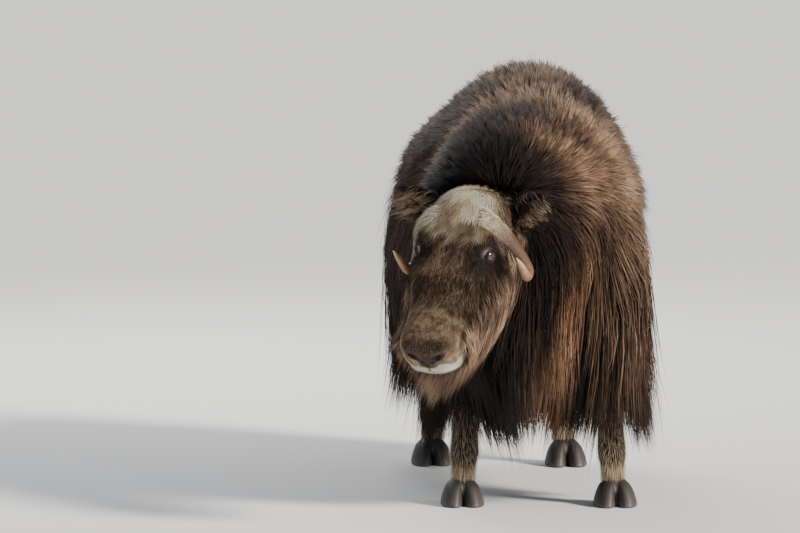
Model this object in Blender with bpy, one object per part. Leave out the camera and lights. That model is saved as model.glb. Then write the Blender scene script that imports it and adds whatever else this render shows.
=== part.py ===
"""A muskox in its winter coat, life size, standing with its head low and turned to its right.

Metres, +Z up. The animal faces -Y, and its left side is +X. The body is built in a working frame whose
zero is on the floor under the hump, and one empty carries the finished pieces so that the origin lies on
the floor at the middle of the model.
"""
import math
import random

import bmesh
import bpy
from mathutils import Euler, Matrix, Vector
from mathutils.bvhtree import BVHTree
from mathutils.kdtree import KDTree

# Driving dimensions of the body, to the tips of the coat unless they say otherwise
HUMP_HEIGHT = 1.18
BARREL_HALF_WIDTH = 0.345
HEAD_LENGTH = 0.485
HEM_HEIGHT = 0.21  # where the long guard hairs end above the floor
SOLE_LENGTH = 0.132
SOLE_WIDTH = 0.118
EYE_RADIUS = 0.0185

# The head is carried low: its nose points down and to the animal's right
POLL = Vector((-0.217, -0.598, 0.860))
HEAD_PITCH = math.radians(46.5)
HEAD_ROLL = math.radians(1)
HEAD_YAW = math.radians(-27.5)

# The coat over the core of each node, and the way two nodes meet
COAT_DEPTH = 0.055
ROOT_DEPTH = 0.022
LOCK_THICKNESS = 0.014
FACE_LOCK_THICKNESS = 0.010
GAP = 0.0004
HANGING_WEIGHT = 0.4  # lighter locks lie on the form below them, and heavier ones hang free of it
LOCK_FLATNESS = 4  # a flat lock grows this much more in width than in thickness for one gap

DOWN = Vector((0, 0, -1))
BACK = Vector((0, 1, 0))
dice = random.Random(11)


def clear_scene():
    for thing in list(bpy.data.objects):
        bpy.data.objects.remove(thing)


def finish(name, colour, roughness, metallic=0.0):
    """A plain Principled material."""
    material = bpy.data.materials.new(name)
    material.use_nodes = True
    shader = material.node_tree.nodes["Principled BSDF"]
    shader.inputs["Base Color"].default_value = (*colour, 1)
    shader.inputs["Roughness"].default_value = roughness
    shader.inputs["Metallic"].default_value = metallic
    return material


def profile(keys, at):
    """The value at a place along a smooth curve through (place, value) keys; the value may be a tuple."""
    if isinstance(keys[0][1], tuple):
        columns = range(len(keys[0][1]))
        return tuple(profile([(key, values[k]) for key, values in keys], at) for k in columns)
    places = [key for key, _ in keys]
    values = [value for _, value in keys]
    if at <= places[0]:
        return values[0]
    if at >= places[-1]:
        return values[-1]
    i = max(k for k, place in enumerate(places[:-1]) if place <= at)

    def slope(k):
        before, after = max(k - 1, 0), min(k + 1, len(keys) - 1)
        return (values[after] - values[before]) / (places[after] - places[before])

    span = places[i + 1] - places[i]
    t = (at - places[i]) / span
    return (
        values[i] * (1 + 2 * t) * (1 - t) ** 2
        + slope(i) * span * t * (1 - t) ** 2
        + values[i + 1] * t * t * (3 - 2 * t)
        + slope(i + 1) * span * t * t * (t - 1)
    )


def power(value, exponent):
    """A power that keeps the sign, for ovals with fuller corners."""
    return math.copysign(abs(value) ** exponent, value)


def made_solid(name, shape, material):
    """An object from a closed bmesh, in triangles that a grown copy shares, with its faces outwards."""
    bmesh.ops.triangulate(shape, faces=shape.faces, quad_method="FIXED")
    bmesh.ops.recalc_face_normals(shape, faces=shape.faces)
    mesh = bpy.data.meshes.new(name)
    shape.to_mesh(mesh)
    shape.free()
    mesh.materials.append(material)
    mesh.shade_smooth()
    thing = bpy.data.objects.new(name, mesh)
    collection.objects.link(thing)
    return thing


def bridge(shape, first, second):
    for i in range(len(first)):
        j = (i + 1) % len(first)
        shape.faces.new((first[i], first[j], second[j], second[i]))


def loft(name, rings, material):
    """A solid through rings of equally many points, with a flat face at each end."""
    shape = bmesh.new()
    loops = [[shape.verts.new(point) for point in ring] for ring in rings]
    for first, second in zip(loops, loops[1:]):
        bridge(shape, first, second)
    shape.faces.new(loops[0])
    shape.faces.new(loops[-1])
    return made_solid(name, shape, material)


def oval(centre, across, up, half_width, half_height, sides, exponent=2.0):
    """One ring of a loft: an oval round a centre, fuller in its corners with a higher exponent."""
    ring = []
    for k in range(sides):
        turn = 2 * math.pi * k / sides
        x = half_width * power(math.sin(turn), 2 / exponent)
        y = half_height * power(math.cos(turn), 2 / exponent)
        ring.append(centre + across * x + up * y)
    return ring


def limb(name, keys, material, rings, sides, across=Vector((1, 0, 0)), level_ends=False):
    """A bent tapering tube through (place along, (x, y, z, half width, half depth)) keys."""
    made = []
    last = keys[-1][0]
    for k in range(rings):
        at = last * k / (rings - 1)
        x, y, z, half_width, half_depth = profile(keys, at)
        centre = Vector((x, y, z))
        ahead = Vector(profile(keys, min(at + 0.01 * last, last))[:3])
        behind = Vector(profile(keys, max(at - 0.01 * last, 0))[:3])
        along = (ahead - behind).normalized()
        if level_ends and k in (0, rings - 1):
            along = DOWN
        side = (across - along * across.dot(along)).normalized()
        made.append(oval(centre, side, side.cross(along), half_width, half_depth, sides))
    return loft(name, made, material)


def grown(thing, by):
    """A copy moved outwards by a small gap, for cutting a neighbour clear of the thing."""
    copy = thing.copy()
    copy.data = thing.data.copy()
    normals = [vertex.normal.copy() for vertex in copy.data.vertices]
    for vertex, normal in zip(copy.data.vertices, normals):
        vertex.co += normal * by
    tools.objects.link(copy)
    copy.hide_render = True
    copy.display_type = "WIRE"
    return copy


def applied(thing):
    """Bakes an object's modifiers into its mesh."""
    bpy.context.view_layer.update()
    graph = bpy.context.evaluated_depsgraph_get()
    mesh = bpy.data.meshes.new_from_object(thing.evaluated_get(graph))
    thing.modifiers.clear()
    thing.data = mesh


def boolean(thing, operation, others):
    """Joins or cuts a thing by many closed meshes at once, and removes them."""
    if not others:
        return
    group = bpy.data.collections.new(thing.name + "_" + operation.lower())
    bpy.context.scene.collection.children.link(group)
    for other in others:
        group.objects.link(other)
    step = thing.modifiers.new(operation.lower(), "BOOLEAN")
    step.operation = operation
    step.operand_type = "COLLECTION"
    step.collection = group
    step.solver = "MANIFOLD"  # EXACT takes minutes on this many pieces
    applied(thing)
    for other in others:
        bpy.data.objects.remove(other)
    bpy.data.collections.remove(group)


def tidy(thing):
    """Leaves one closed surface without sealed hollows and loose scraps, and no two points that touch."""
    shape = bmesh.new()
    shape.from_mesh(thing.data)
    bmesh.ops.triangulate(shape, faces=shape.faces)
    bmesh.ops.dissolve_degenerate(shape, dist=1e-5, edges=shape.edges)
    waiting = set(shape.faces)
    bodies = []
    while waiting:
        front = [waiting.pop()]
        body = list(front)
        while front:
            for edge in front.pop().edges:
                for face in edge.link_faces if len(edge.link_faces) == 2 else ():
                    if face in waiting:
                        waiting.remove(face)
                        front.append(face)
                        body.append(face)
        bodies.append(body)
    bodies.sort(key=lambda body: sum(face.calc_area() for face in body))
    scraps = [face for body in bodies[:-1] for face in body]
    bmesh.ops.delete(shape, geom=scraps, context="FACES")
    shape.verts.ensure_lookup_table()
    near = KDTree(len(shape.verts))
    for index, vertex in enumerate(shape.verts):
        near.insert(vertex.co, index)
    near.balance()
    for index, vertex in enumerate(shape.verts):
        if any(other > index for _, other, _ in near.find_range(vertex.co, 3e-6)):
            vertex.co -= vertex.normal * 1e-5
    shape.to_mesh(thing.data)
    shape.free()


def tree_of(things):
    """One search tree over several objects, in the working frame."""
    points, faces = [], []
    for thing in things:
        first = len(points)
        points += [thing.matrix_world @ vertex.co for vertex in thing.data.vertices]
        faces += [[first + k for k in face.vertices] for face in thing.data.polygons]
    return BVHTree.FromPolygons(points, faces)


# The coat: flat tapered locks, combed over the forms by their lie and their weight

def combed(tree, root, lie, length, rise, weight, sway=0.0):
    """The line of a lock from a root on the forms: it starts sunk, rises over them, and hangs past them."""
    lies_on = weight < HANGING_WEIGHT
    stations = 5 if lies_on else 4
    start, normal, _, _ = tree.find_nearest(root)
    heading = (lie - normal * lie.dot(normal) * 0.9).normalized()
    point = start - normal * ROOT_DEPTH
    line = [(point, normal)]
    step = length / (stations - 1)
    hem = HEM_HEIGHT + dice.uniform(0, 0.05)
    for k in range(1, stations):
        share = k / (stations - 1)
        aside = heading.cross(normal) * sway * math.cos(math.pi * share)
        heading = (heading * (1 - weight) + DOWN * weight + aside).normalized()
        point = point + heading * step
        clearance = rise * min(1, 0.30 + 0.9 * share)
        for _ in range(2):
            near, face_normal, _, _ = tree.find_nearest(point)
            spare = (point - near).dot(face_normal) - clearance
            if spare < 0:
                point = near + face_normal * clearance
                normal = (normal + face_normal * 2).normalized()
            elif lies_on:
                point -= face_normal * spare * (1 - weight / HANGING_WEIGHT)
                normal = (normal + face_normal).normalized()
        point.z = max(point.z, hem)
        heading = (point - line[-1][0]).normalized()
        line.append((point, normal))
    return line


def lock_solid(line, half_width, half_depth, grow=0.0):
    """A flat lock along its line, ridged on its outer side, widest near its root and ending in a tip."""
    shape = bmesh.new()
    loops = []
    last = len(line) - 1
    for k, (point, normal) in enumerate(line[:-1]):
        share = k / last
        along = (line[k + 1][0] - line[max(k - 1, 0)][0]).normalized()
        side = along.cross(normal).normalized()
        out = side.cross(along)
        taper = min(1, 0.6 + 1.6 * share) * (1 - 0.72 * share**1.6)
        arch = out * 2.2 * (half_width * taper) ** 2
        wide = half_width * taper + LOCK_FLATNESS * grow
        deep = half_depth * taper + grow
        base = point - along * grow * 2 if k == 0 else point
        under = base - arch * 0.4 - out * (half_depth * 0.4 * taper + grow)
        corners = (base + side * wide - arch, base + out * deep, base - side * wide - arch, under)
        loops.append([shape.verts.new(corner) for corner in corners])
    for first, second in zip(loops, loops[1:]):
        bridge(shape, first, second)
    along = (line[-1][0] - line[-2][0]).normalized()
    tip = shape.verts.new(line[-1][0] + along * grow * LOCK_FLATNESS)
    for i in range(4):
        shape.faces.new((loops[-1][i], loops[-1][(i + 1) % 4], tip))
    shape.faces.new(loops[0])
    return made_solid("lock", shape, COAT)


def coat_solids(locks, grow=0.0):
    return [lock_solid(*lock, grow) for lock in locks]


# The torso: horizontal slices of a loaf round the spine, highest at the hump

SPINE_FRONT = -0.27
SPINE_REAR = 0.80
TORSO_FRONT_REACH = 0.13
TORSO_REAR_REACH = 0.25
RIDGE = [  # place along the body, and height of the core's ridge there
    (-0.40, 1.000),
    (-0.27, 1.060),
    (-0.10, 1.112),
    (0.04, HUMP_HEIGHT - COAT_DEPTH),
    (0.20, 1.100),
    (0.42, 1.045),
    (0.65, 1.010),
    (0.85, 0.985),
    (1.05, 0.920),
]
GIRTH = [  # place along the body, and half width of the core there
    (-0.40, 0.225),
    (-0.27, 0.245),
    (-0.05, 0.268),
    (0.20, 0.282),
    (0.45, BARREL_HALF_WIDTH - COAT_DEPTH),
    (0.70, 0.284),
    (0.85, 0.268),
    (1.05, 0.205),
]
BELLY = 0.43  # the lowest of the core, half way from the skin of the belly to the hem
WIDEST = 0.65
UPPER_FULLNESS = 2.0
LOWER_FULLNESS = 2.4
SLICES = 13
FAN = 0.16  # share of half the outline that goes round each end
RIDGE_LOCKS = 7
RIDGE_LOCKS_FROM = -0.15
RIDGE_LOCKS_TO = 0.79


def meridian(along_half, side):
    """A spine point, the way outwards from it, and how far the core reaches there."""
    if along_half < FAN:
        turn, y, end = along_half / FAN, SPINE_FRONT, -1
    elif along_half > 1 - FAN:
        turn, y, end = (1 - along_half) / FAN, SPINE_REAR, 1
    else:
        turn, end = 1, 0
        y = SPINE_FRONT + (SPINE_REAR - SPINE_FRONT) * (along_half - FAN) / (1 - 2 * FAN)
    turn *= math.pi / 2
    end_reach = TORSO_FRONT_REACH if end < 0 else TORSO_REAR_REACH
    reach = 1 / math.hypot(math.sin(turn) / profile(GIRTH, y), math.cos(turn) / end_reach)
    return y, Vector((side * math.sin(turn), end * math.cos(turn), 0)), reach


def torso_point(along_half, side, tilt):
    """A point of the core: tilt is 0 at the ridge, a quarter turn at the widest and a half turn below."""
    y, outward, reach = meridian(along_half, side)
    upper = tilt < math.pi / 2
    fullness = UPPER_FULLNESS if upper else LOWER_FULLNESS
    across = reach * power(math.sin(tilt), 2 / fullness)
    top = profile(RIDGE, y + outward.y * across)
    half = (top - WIDEST) if upper else (WIDEST - BELLY)
    return Vector((0, y, WIDEST + half * power(math.cos(tilt), 2 / fullness))) + outward * across


def torso_core():
    """The core of the torso, closed above and below by a ladder of faces along the spine."""
    shape = bmesh.new()
    columns = 15
    loops = []
    for k in range(1, SLICES):
        tilt = math.pi * k / SLICES
        left = [torso_point(i / columns, 1, tilt) for i in range(columns + 1)]
        right = [torso_point(i / columns, -1, tilt) for i in range(columns - 1, 0, -1)]
        loops.append([shape.verts.new(point) for point in left + right])
    for first, second in zip(loops, loops[1:]):
        bridge(shape, first, second)
    for loop in (loops[0], loops[-1]):
        for i in range(columns):
            corners = [loop[i], loop[i + 1], loop[-i - 1], loop[-i]]
            shape.faces.new(list(dict.fromkeys(corners)))
    return made_solid("torso", shape, COAT)


def inside(tree, point, deeper=0.02):
    spot, normal, _, _ = tree.find_nearest(point)
    return (point - spot).dot(normal) < -deeper


def torso_locks(tree, hidden):
    """Tiers of locks from the back down to the hem, each tier starting under the tips of the one above."""
    locks = []
    for k in range(RIDGE_LOCKS):
        y = RIDGE_LOCKS_FROM + (RIDGE_LOCKS_TO - RIDGE_LOCKS_FROM) * k / (RIDGE_LOCKS - 1)
        root = Vector((dice.uniform(-0.01, 0.01), y, profile(RIDGE, y)))
        line = combed(tree, root, BACK, length=0.27, rise=COAT_DEPTH, weight=0.06)
        locks.append((line, 0.095, LOCK_THICKNESS))
    tiers = [  # tilt of the roots, locks on each side, length, half width, rise, backward lie, weight, flare
        (22, 7, 0.31, 0.088, COAT_DEPTH, 0.85, 0.15, 0),
        (42, 8, 0.35, 0.086, COAT_DEPTH, 0.55, 0.25, 0),
        (62, 9, 0.39, 0.084, COAT_DEPTH, 0.35, 0.30, 0),
        (82, 10, 0.43, 0.082, COAT_DEPTH, 0.20, 0.40, 0.20),
        (106, 11, 0.36, 0.075, 0.045, 0.05, 0.45, 0.50),
    ]
    for row, (degrees, count, length, half_width, rise, back, weight, flare) in enumerate(tiers):
        for side in (-1, 1):
            for k in range(count):
                share = (k + 0.25 + 0.5 * (row % 2)) / count
                along_half = 0.06 + 0.94 * min(share, 0.99) + dice.uniform(-0.006, 0.006)
                tilt = math.radians(degrees + dice.uniform(-4, 4))
                root = torso_point(min(along_half, 0.995), side, tilt)
                if inside(hidden, root):
                    continue
                lie = DOWN * (1 - back * 0.6) + BACK * back + meridian(along_half, side)[1] * flare
                reach = length * dice.uniform(0.9, 1.12)
                sway = dice.uniform(-0.16, 0.16)
                line = combed(tree, root, lie, reach, rise * dice.uniform(0.9, 1.0), weight, sway=sway)
                locks.append((line, half_width * dice.uniform(0.88, 1.1), LOCK_THICKNESS))
    return locks


# The neck: short and deep, bent to the animal's right, under a mane that hangs to the hem

NECK = [  # place along, and centre, half width and half height of the core
    (0.0, (0.000, -0.130, 0.795, 0.225, 0.260)),
    (0.3, (-0.040, -0.275, 0.795, 0.225, 0.255)),
    (0.55, (-0.095, -0.390, 0.785, 0.200, 0.230)),
    (0.8, (-0.155, -0.490, 0.765, 0.160, 0.190)),
    (1.0, (-0.200, -0.560, 0.750, 0.095, 0.125)),
]


def neck_point(along, turn):
    """A point of the neck's core; turn is 0 on top and grows towards the animal's left."""
    x, y, z, half_width, half_height = profile(NECK, along)
    ahead = Vector(profile(NECK, along + 0.02)[:3])
    behind = Vector(profile(NECK, along - 0.02)[:3])
    heading = (ahead - behind).normalized()
    side = Vector((-heading.y, heading.x, 0)).normalized()
    up = heading.cross(side)
    return Vector((x, y, z)) + side * half_width * math.sin(turn) + up * half_height * math.cos(turn)


def neck_core():
    sides, rings = 20, 9
    made = []
    for k in range(rings):
        at = k / (rings - 1)
        made.append([neck_point(at, 2 * math.pi * i / sides) for i in range(sides)])
    return loft("neck", made, COAT)


def neck_locks(tree):
    """The mane: it radiates back from the poll to a crest, and falls over the sides and the throat."""
    locks = []
    rows = [  # turn from the top, places along, length, half width, rise, backward lie, weight
        (0, (0.24, 0.44, 0.64, 0.86), 0.20, 0.074, 0.055, 1.0, 0.04),
        (28, (0.24, 0.47, 0.70, 0.93), 0.21, 0.072, 0.055, 0.95, 0.08),
        (58, (0.24, 0.46, 0.68, 0.90), 0.24, 0.066, 0.055, 0.75, 0.18),
        (88, (0.22, 0.44, 0.66, 0.88), 0.28, 0.055, 0.050, 0.45, 0.30),
        (118, (0.14, 0.40, 0.68), 0.32, 0.060, 0.045, 0.2, 0.40),
        (150, (0.10, 0.30, 0.52, 0.72, 0.92), 0.31, 0.056, 0.040, 0.0, 0.50),
        (180, (0.32, 0.54, 0.78), 0.30, 0.054, 0.040, 0.0, 0.50),
    ]
    for degrees, places, length, half_width, rise, back, weight in rows:
        for side in (-1, 1) if 0 < degrees < 180 else (1,):
            for place in places:
                turn = math.radians(side * degrees + dice.uniform(-5, 5))
                root = neck_point(place + dice.uniform(-0.03, 0.03), turn)
                lie = DOWN * (1 - back) + BACK * back
                reach = length * dice.uniform(0.92, 1.1)
                line = combed(tree, root, lie, reach, rise, weight, sway=dice.uniform(-0.15, 0.15))
                locks.append((line, half_width * dice.uniform(0.9, 1.1), LOCK_THICKNESS))
    return locks


# The head, in its own frame: the poll is at zero, the nose points along -Y and the forehead faces +Z

HEAD_TURN = Euler((HEAD_PITCH, HEAD_ROLL, HEAD_YAW)).to_matrix().to_4x4()
HEAD_PLACE = Matrix.Translation(POLL) @ HEAD_TURN
HEAD = [  # distance from the poll, and half width, top, widest, bottom and fullness of the section
    (-0.050, (0.055, -0.030, -0.085, -0.140, 2.0)),
    (-0.030, (0.084, -0.004, -0.085, -0.172, 2.1)),
    (0.010, (0.104, 0.022, -0.080, -0.198, 2.2)),
    (0.080, (0.113, 0.034, -0.065, -0.212, 2.3)),
    (0.165, (0.107, 0.026, -0.055, -0.205, 2.3)),
    (0.240, (0.094, 0.012, -0.060, -0.180, 2.4)),
    (0.320, (0.078, 0.003, -0.065, -0.148, 2.4)),
    (0.385, (0.073, 0.000, -0.066, -0.136, 2.5)),
    (0.430, (0.073, -0.003, -0.066, -0.136, 2.6)),
    (0.462, (0.064, -0.014, -0.066, -0.128, 2.6)),
    (0.478, (0.047, -0.030, -0.066, -0.110, 2.4)),
    (HEAD_LENGTH, (0.024, -0.048, -0.066, -0.088, 2.0)),
]
EYE_PLACE = Vector((0.0900, -0.1720, -0.0160))
SWELLINGS = [  # centre, radius and height of the rounded forms that stand out of the head
    (Vector((0.088, -0.142, 0.004)), 0.034, 0.012),  # brow over the eye
    (Vector((0.095, -0.212, -0.040)), 0.036, 0.006),  # below the eye
    (Vector((0.090, -0.260, -0.110)), 0.070, 0.012),  # cheek
    (Vector((0.042, -0.452, -0.040)), 0.030, 0.007),  # wing of the nostril
    (Vector((0.056, -0.425, -0.092)), 0.034, 0.008),  # upper lip
    (Vector((0.000, -0.435, -0.140)), 0.040, 0.010),  # chin
]
FOREHEAD = (Vector((0.0, -0.045, 0.045)), 0.070, 0.018)  # dense pale wool between the horns


def head_core():
    sides, rings = 20, 20
    made = []
    first, last = HEAD[0][0], HEAD[-1][0]
    for k in range(rings):
        share = k / (rings - 1)
        at = first + (last - first) * (share - 0.06 * math.sin(2 * math.pi * share))
        half_width, top, widest, bottom, fullness = profile(HEAD, at)
        ring = []
        for i in range(sides):
            turn = 2 * math.pi * i / sides
            x = half_width * power(math.sin(turn), 2 / fullness)
            height = (top - widest) if math.cos(turn) > 0 else (widest - bottom)
            ring.append(Vector((x, -at, widest + height * power(math.cos(turn), 2 / fullness))))
        made.append(ring)
    core = loft("head", made, COAT)
    bumps = [FOREHEAD]
    for centre, radius, height in SWELLINGS:
        bumps.append((centre, radius, height))
        if centre.x:
            bumps.append((Vector((-centre.x, centre.y, centre.z)), radius, height))
    normals = [vertex.normal.copy() for vertex in core.data.vertices]
    for vertex, normal in zip(core.data.vertices, normals):
        for centre, radius, height in bumps:
            near = math.exp(-(((vertex.co - centre).length / radius) ** 2))
            vertex.co += normal * height * near
    core.matrix_world = HEAD_PLACE
    return core


def mirrored(point, side):
    return Vector((point.x * side, point.y, point.z))


def tube(name, points, radii, resolution):
    """A tapering round bar through points of the head's own frame, made a closed mesh."""
    curve = bpy.data.curves.new(name, "CURVE")
    curve.dimensions = "3D"
    curve.bevel_depth = 1.0
    curve.bevel_resolution = resolution
    curve.use_fill_caps = True
    line = curve.splines.new("POLY")
    line.points.add(len(points) - 1)
    for control, point, radius in zip(line.points, points, radii):
        control.co = (*point, 1)
        control.radius = radius
    guide = bpy.data.objects.new(name, curve)
    collection.objects.link(guide)
    guide.matrix_world = HEAD_PLACE
    bpy.context.view_layer.update()
    graph = bpy.context.evaluated_depsgraph_get()
    shape = bmesh.new()
    shape.from_mesh(bpy.data.meshes.new_from_object(guide.evaluated_get(graph)))
    bmesh.ops.remove_doubles(shape, verts=shape.verts, dist=1e-5)
    bpy.data.objects.remove(guide)
    made = made_solid(name, shape, COAT)
    made.matrix_world = HEAD_PLACE
    return made


MOUTH_POINTS = 9
NOSTRIL = [  # centre and radius along the opening, from its wide front end back and up
    ((0.019, -0.4930, -0.057), 0.0070),
    ((0.031, -0.4820, -0.050), 0.0095),
    ((0.045, -0.4680, -0.044), 0.0075),
    ((0.055, -0.4500, -0.040), 0.0035),
]
LID_POINTS = 6
LID_SPREAD = 0.62  # share of a half turn round the eye that a lid goes round
UPPER_LID = (34, 0.0062)  # rise over the eye in degrees, and thickness
LOWER_LID = (-30, 0.0050)


def on_head(tree, inside, outward):
    """Where a ray from inside the head's own frame meets its surface, and the normal there."""
    spot, normal, _, _ = tree.ray_cast(inside, outward.normalized())
    return spot, normal


def mouth_line(tree, raised, lowered):
    """Points along the mouth from one corner round the front to the other, shifted in or out and up."""
    points = []
    for k in range(MOUTH_POINTS):
        share = 2 * k / (MOUTH_POINTS - 1) - 1
        back = 0.395 + 0.072 * (1 - abs(share) ** 1.6)
        inside = Vector((0, -min(back, 0.452), -0.085))
        outward = Vector((math.sin(share * math.pi / 2), -math.cos(share * math.pi / 2) * 0.9, -0.33))
        if abs(share) > 0.99:
            outward = Vector((share, 0.0, -0.33))
        spot, normal = on_head(tree, inside, outward)
        points.append(spot + normal * raised + Vector((0, 0, lowered)))
    return points


def lips(tree):
    """Two soft rolls along the mouth, and the cutter for the line between them."""

    def even(radius, ends):
        return [ends] + [radius] * (MOUTH_POINTS - 2) + [ends]

    upper = tube("upper_lip", mouth_line(tree, -0.0035, 0.0085), even(0.0085, 0.0055), resolution=1)
    lower = tube("lower_lip", mouth_line(tree, -0.0040, -0.0080), even(0.0075, 0.0045), resolution=1)
    line = tube("mouth_cut", mouth_line(tree, 0.0045, 0), even(0.0030, 0.0030), resolution=0)
    return [upper, lower], [line]


def nostril_cutter(side):
    """A comma-shaped opening that starts wide in front and runs back and up."""
    points = [mirrored(Vector(point), side) for point, _ in NOSTRIL]
    return tube("nostril_cut", points, [radius for _, radius in NOSTRIL], resolution=2)


def eyelids(side):
    """Upper and lower lid as two rolls over the ball of the eye, joined at its corners."""
    rolls = []
    outward = Vector((side, -0.33, 0.22)).normalized()
    nose = Vector((0, -1, -0.18))
    forward = (nose - outward * nose.dot(outward)).normalized()
    above = forward.cross(outward) * side
    for rise, thick in (UPPER_LID, LOWER_LID):
        points = []
        for k in range(LID_POINTS):
            sweep = math.pi * (k / (LID_POINTS - 1) - 0.5)
            lift = math.radians(rise) * math.cos(sweep)
            level = outward * math.cos(sweep * LID_SPREAD) + forward * math.sin(sweep * LID_SPREAD)
            direction = level.normalized() * math.cos(lift) + above * math.sin(lift)
            points.append(mirrored(EYE_PLACE, side) + direction * (EYE_RADIUS + 0.0015))
        radii = [LOWER_LID[1]] + [thick] * (LID_POINTS - 2) + [LOWER_LID[1]]
        rolls.append(tube("lid", points, radii, resolution=1))
    return rolls


def eye(side):
    name = "eye_left" if side > 0 else "eye_right"
    bpy.ops.mesh.primitive_uv_sphere_add(segments=10, ring_count=6, radius=EYE_RADIUS)
    ball = bpy.context.object
    ball.name = ball.data.name = name
    ball.data.materials.append(EYE)
    ball.data.shade_smooth()
    for group in ball.users_collection:
        group.objects.unlink(ball)
    collection.objects.link(ball)
    ball.matrix_world = HEAD_PLACE @ Matrix.Translation(mirrored(EYE_PLACE, side))
    return ball


HORN = [  # place along, and centre, half width and half thickness: flat at its root, round at its tip
    (0.00, (0.012, -0.058, -0.005, 0.032, 0.016)),
    (0.16, (0.066, -0.084, 0.034, 0.030, 0.018)),
    (0.32, (0.106, -0.098, 0.000, 0.026, 0.018)),
    (0.48, (0.130, -0.103, -0.055, 0.022, 0.017)),
    (0.62, (0.146, -0.108, -0.110, 0.020, 0.016)),
    (0.74, (0.158, -0.126, -0.142, 0.018, 0.015)),
    (0.84, (0.165, -0.152, -0.120, 0.015, 0.013)),
    (0.93, (0.169, -0.162, -0.068, 0.010, 0.010)),
    (1.00, (0.171, -0.172, -0.017, 0.003, 0.003)),
]


def horn(side):
    keys = []
    for place, (x, y, z, half_width, half_depth) in HORN:
        keys.append((place, (x * side, y, z, half_width, half_depth)))
    name = "horn_left" if side > 0 else "horn_right"
    made = limb(name, keys, HORN_FINISH, rings=13, sides=7, across=Vector((0, 1, 0.15)))
    made.matrix_world = HEAD_PLACE
    return made


EAR_ROOT = Vector((0.088, -0.022, -0.050))
EAR_WAY = Vector((0.86, 0.34, 0.38)).normalized()
EAR_LENGTH = 0.120


def ear(side):
    """A leaf of skin rolled round a cup that opens forwards, with its root sunk in the head."""
    name = "ear_left" if side > 0 else "ear_right"
    root = mirrored(EAR_ROOT, side)
    way = mirrored(EAR_WAY, side)
    open_to = mirrored(Vector((0.15, -0.35, 0.90)), side)
    open_to = (open_to - way * open_to.dot(way)).normalized()
    across = way.cross(open_to)
    rings = []
    for k in range(7):
        share = k / 6
        half = 0.034 * math.sin(math.pi * min(1, 0.16 + share * 0.84)) ** 0.8 + 0.002
        cup = half * 0.85 * math.sin(math.pi * min(1, max(0, share * 1.25 - 0.15)))
        centre = root + way * EAR_LENGTH * share - open_to * 0.012 * math.sin(math.pi * share)
        wall = 0.0045
        outer, inner = [], []
        for i in range(5):
            turn = math.pi * i / 4
            edge = across * math.cos(turn)
            outer.append(centre + edge * half - open_to * (math.sin(turn) * half * 0.75 + wall * 0.5))
            dip = math.sin(turn) * (half * 0.75 - wall * 1.2) * min(1, cup / (half * 0.6 + 1e-6))
            inner.append(centre + edge * (half - wall * 0.8) - open_to * (dip - wall * 0.5))
        rings.append(outer + inner[::-1])
    made = loft(name, rings, COAT)
    made.matrix_world = HEAD_PLACE
    return made


def head_locks(tree):
    """Longer hair of the jaw, the cheeks and the corners of the mouth."""
    locks = []
    rows = [  # root and lie in the head's frame, length, half width, rise
        ((0.066, -0.360, -0.062), (0.30, -0.10, -0.90), 0.120, 0.030, 0.016),
        ((0.020, -0.350, -0.135), (0.15, 0.30, -0.80), 0.120, 0.030, 0.014),
        ((0.066, -0.290, -0.120), (0.20, 0.10, -0.75), 0.170, 0.036, 0.022),
        ((0.092, -0.250, -0.060), (0.35, 0.00, -0.80), 0.200, 0.040, 0.026),
        ((0.050, -0.220, -0.190), (0.15, 0.10, -0.85), 0.200, 0.042, 0.026),
        ((0.104, -0.175, -0.075), (0.35, 0.10, -0.80), 0.230, 0.044, 0.030),
        ((0.085, -0.130, -0.180), (0.30, 0.20, -0.80), 0.240, 0.046, 0.028),
        ((0.000, -0.150, -0.212), (0.00, 0.20, -0.85), 0.230, 0.046, 0.028),
    ]
    for root, lie, length, half_width, rise in rows:
        for side in (1, -1) if root[0] else (1,):
            place = HEAD_PLACE @ mirrored(Vector(root), side)
            way = HEAD_PLACE.to_3x3() @ mirrored(Vector(lie), side) + DOWN
            line = combed(tree, place, way, length, rise, weight=0.42)
            locks.append((line, half_width, FACE_LOCK_THICKNESS))
    return locks


# The legs: short columns of pale hair on broad round hooves

HOOF_TOP = 0.072
FORE_LEG = [  # place along, and offset forward, height, half width and half depth
    (0.0, (0.00, 0.560, 0.070, 0.085)),
    (0.3, (0.02, 0.440, 0.066, 0.075)),
    (0.55, (-0.02, 0.310, 0.056, 0.058)),
    (0.75, (-0.01, 0.205, 0.045, 0.048)),
    (0.9, (-0.015, 0.120, 0.051, 0.055)),
    (1.0, (-0.020, HOOF_TOP + GAP, 0.049, 0.053)),
]
HIND_LEG = [
    (0.0, (-0.05, 0.580, 0.085, 0.120)),
    (0.25, (-0.03, 0.460, 0.076, 0.100)),
    (0.5, (0.045, 0.330, 0.052, 0.066)),
    (0.75, (0.020, 0.205, 0.044, 0.048)),
    (0.9, (0.000, 0.120, 0.050, 0.055)),
    (1.0, (-0.012, HOOF_TOP + GAP, 0.048, 0.052)),
]
STANCE = {  # foot on the floor and height keys of each leg
    "fore_left": (0.212, -0.120, FORE_LEG),
    "fore_right": (-0.190, -0.075, FORE_LEG),
    "hind_left": (0.180, 0.790, HIND_LEG),
    "hind_right": (-0.185, 0.850, HIND_LEG),
}


def leg(which):
    x, y, keys = STANCE[which]
    placed = []
    for place, (forward, height, half_width, half_depth) in keys:
        lean = 1 - 0.14 * min(1, height / 0.56)
        placed.append((place, (x * lean, y + forward, height, half_width, half_depth)))
    return limb("leg_" + which, placed, STOCKING, rings=9, sides=10, level_ends=True)


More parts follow.
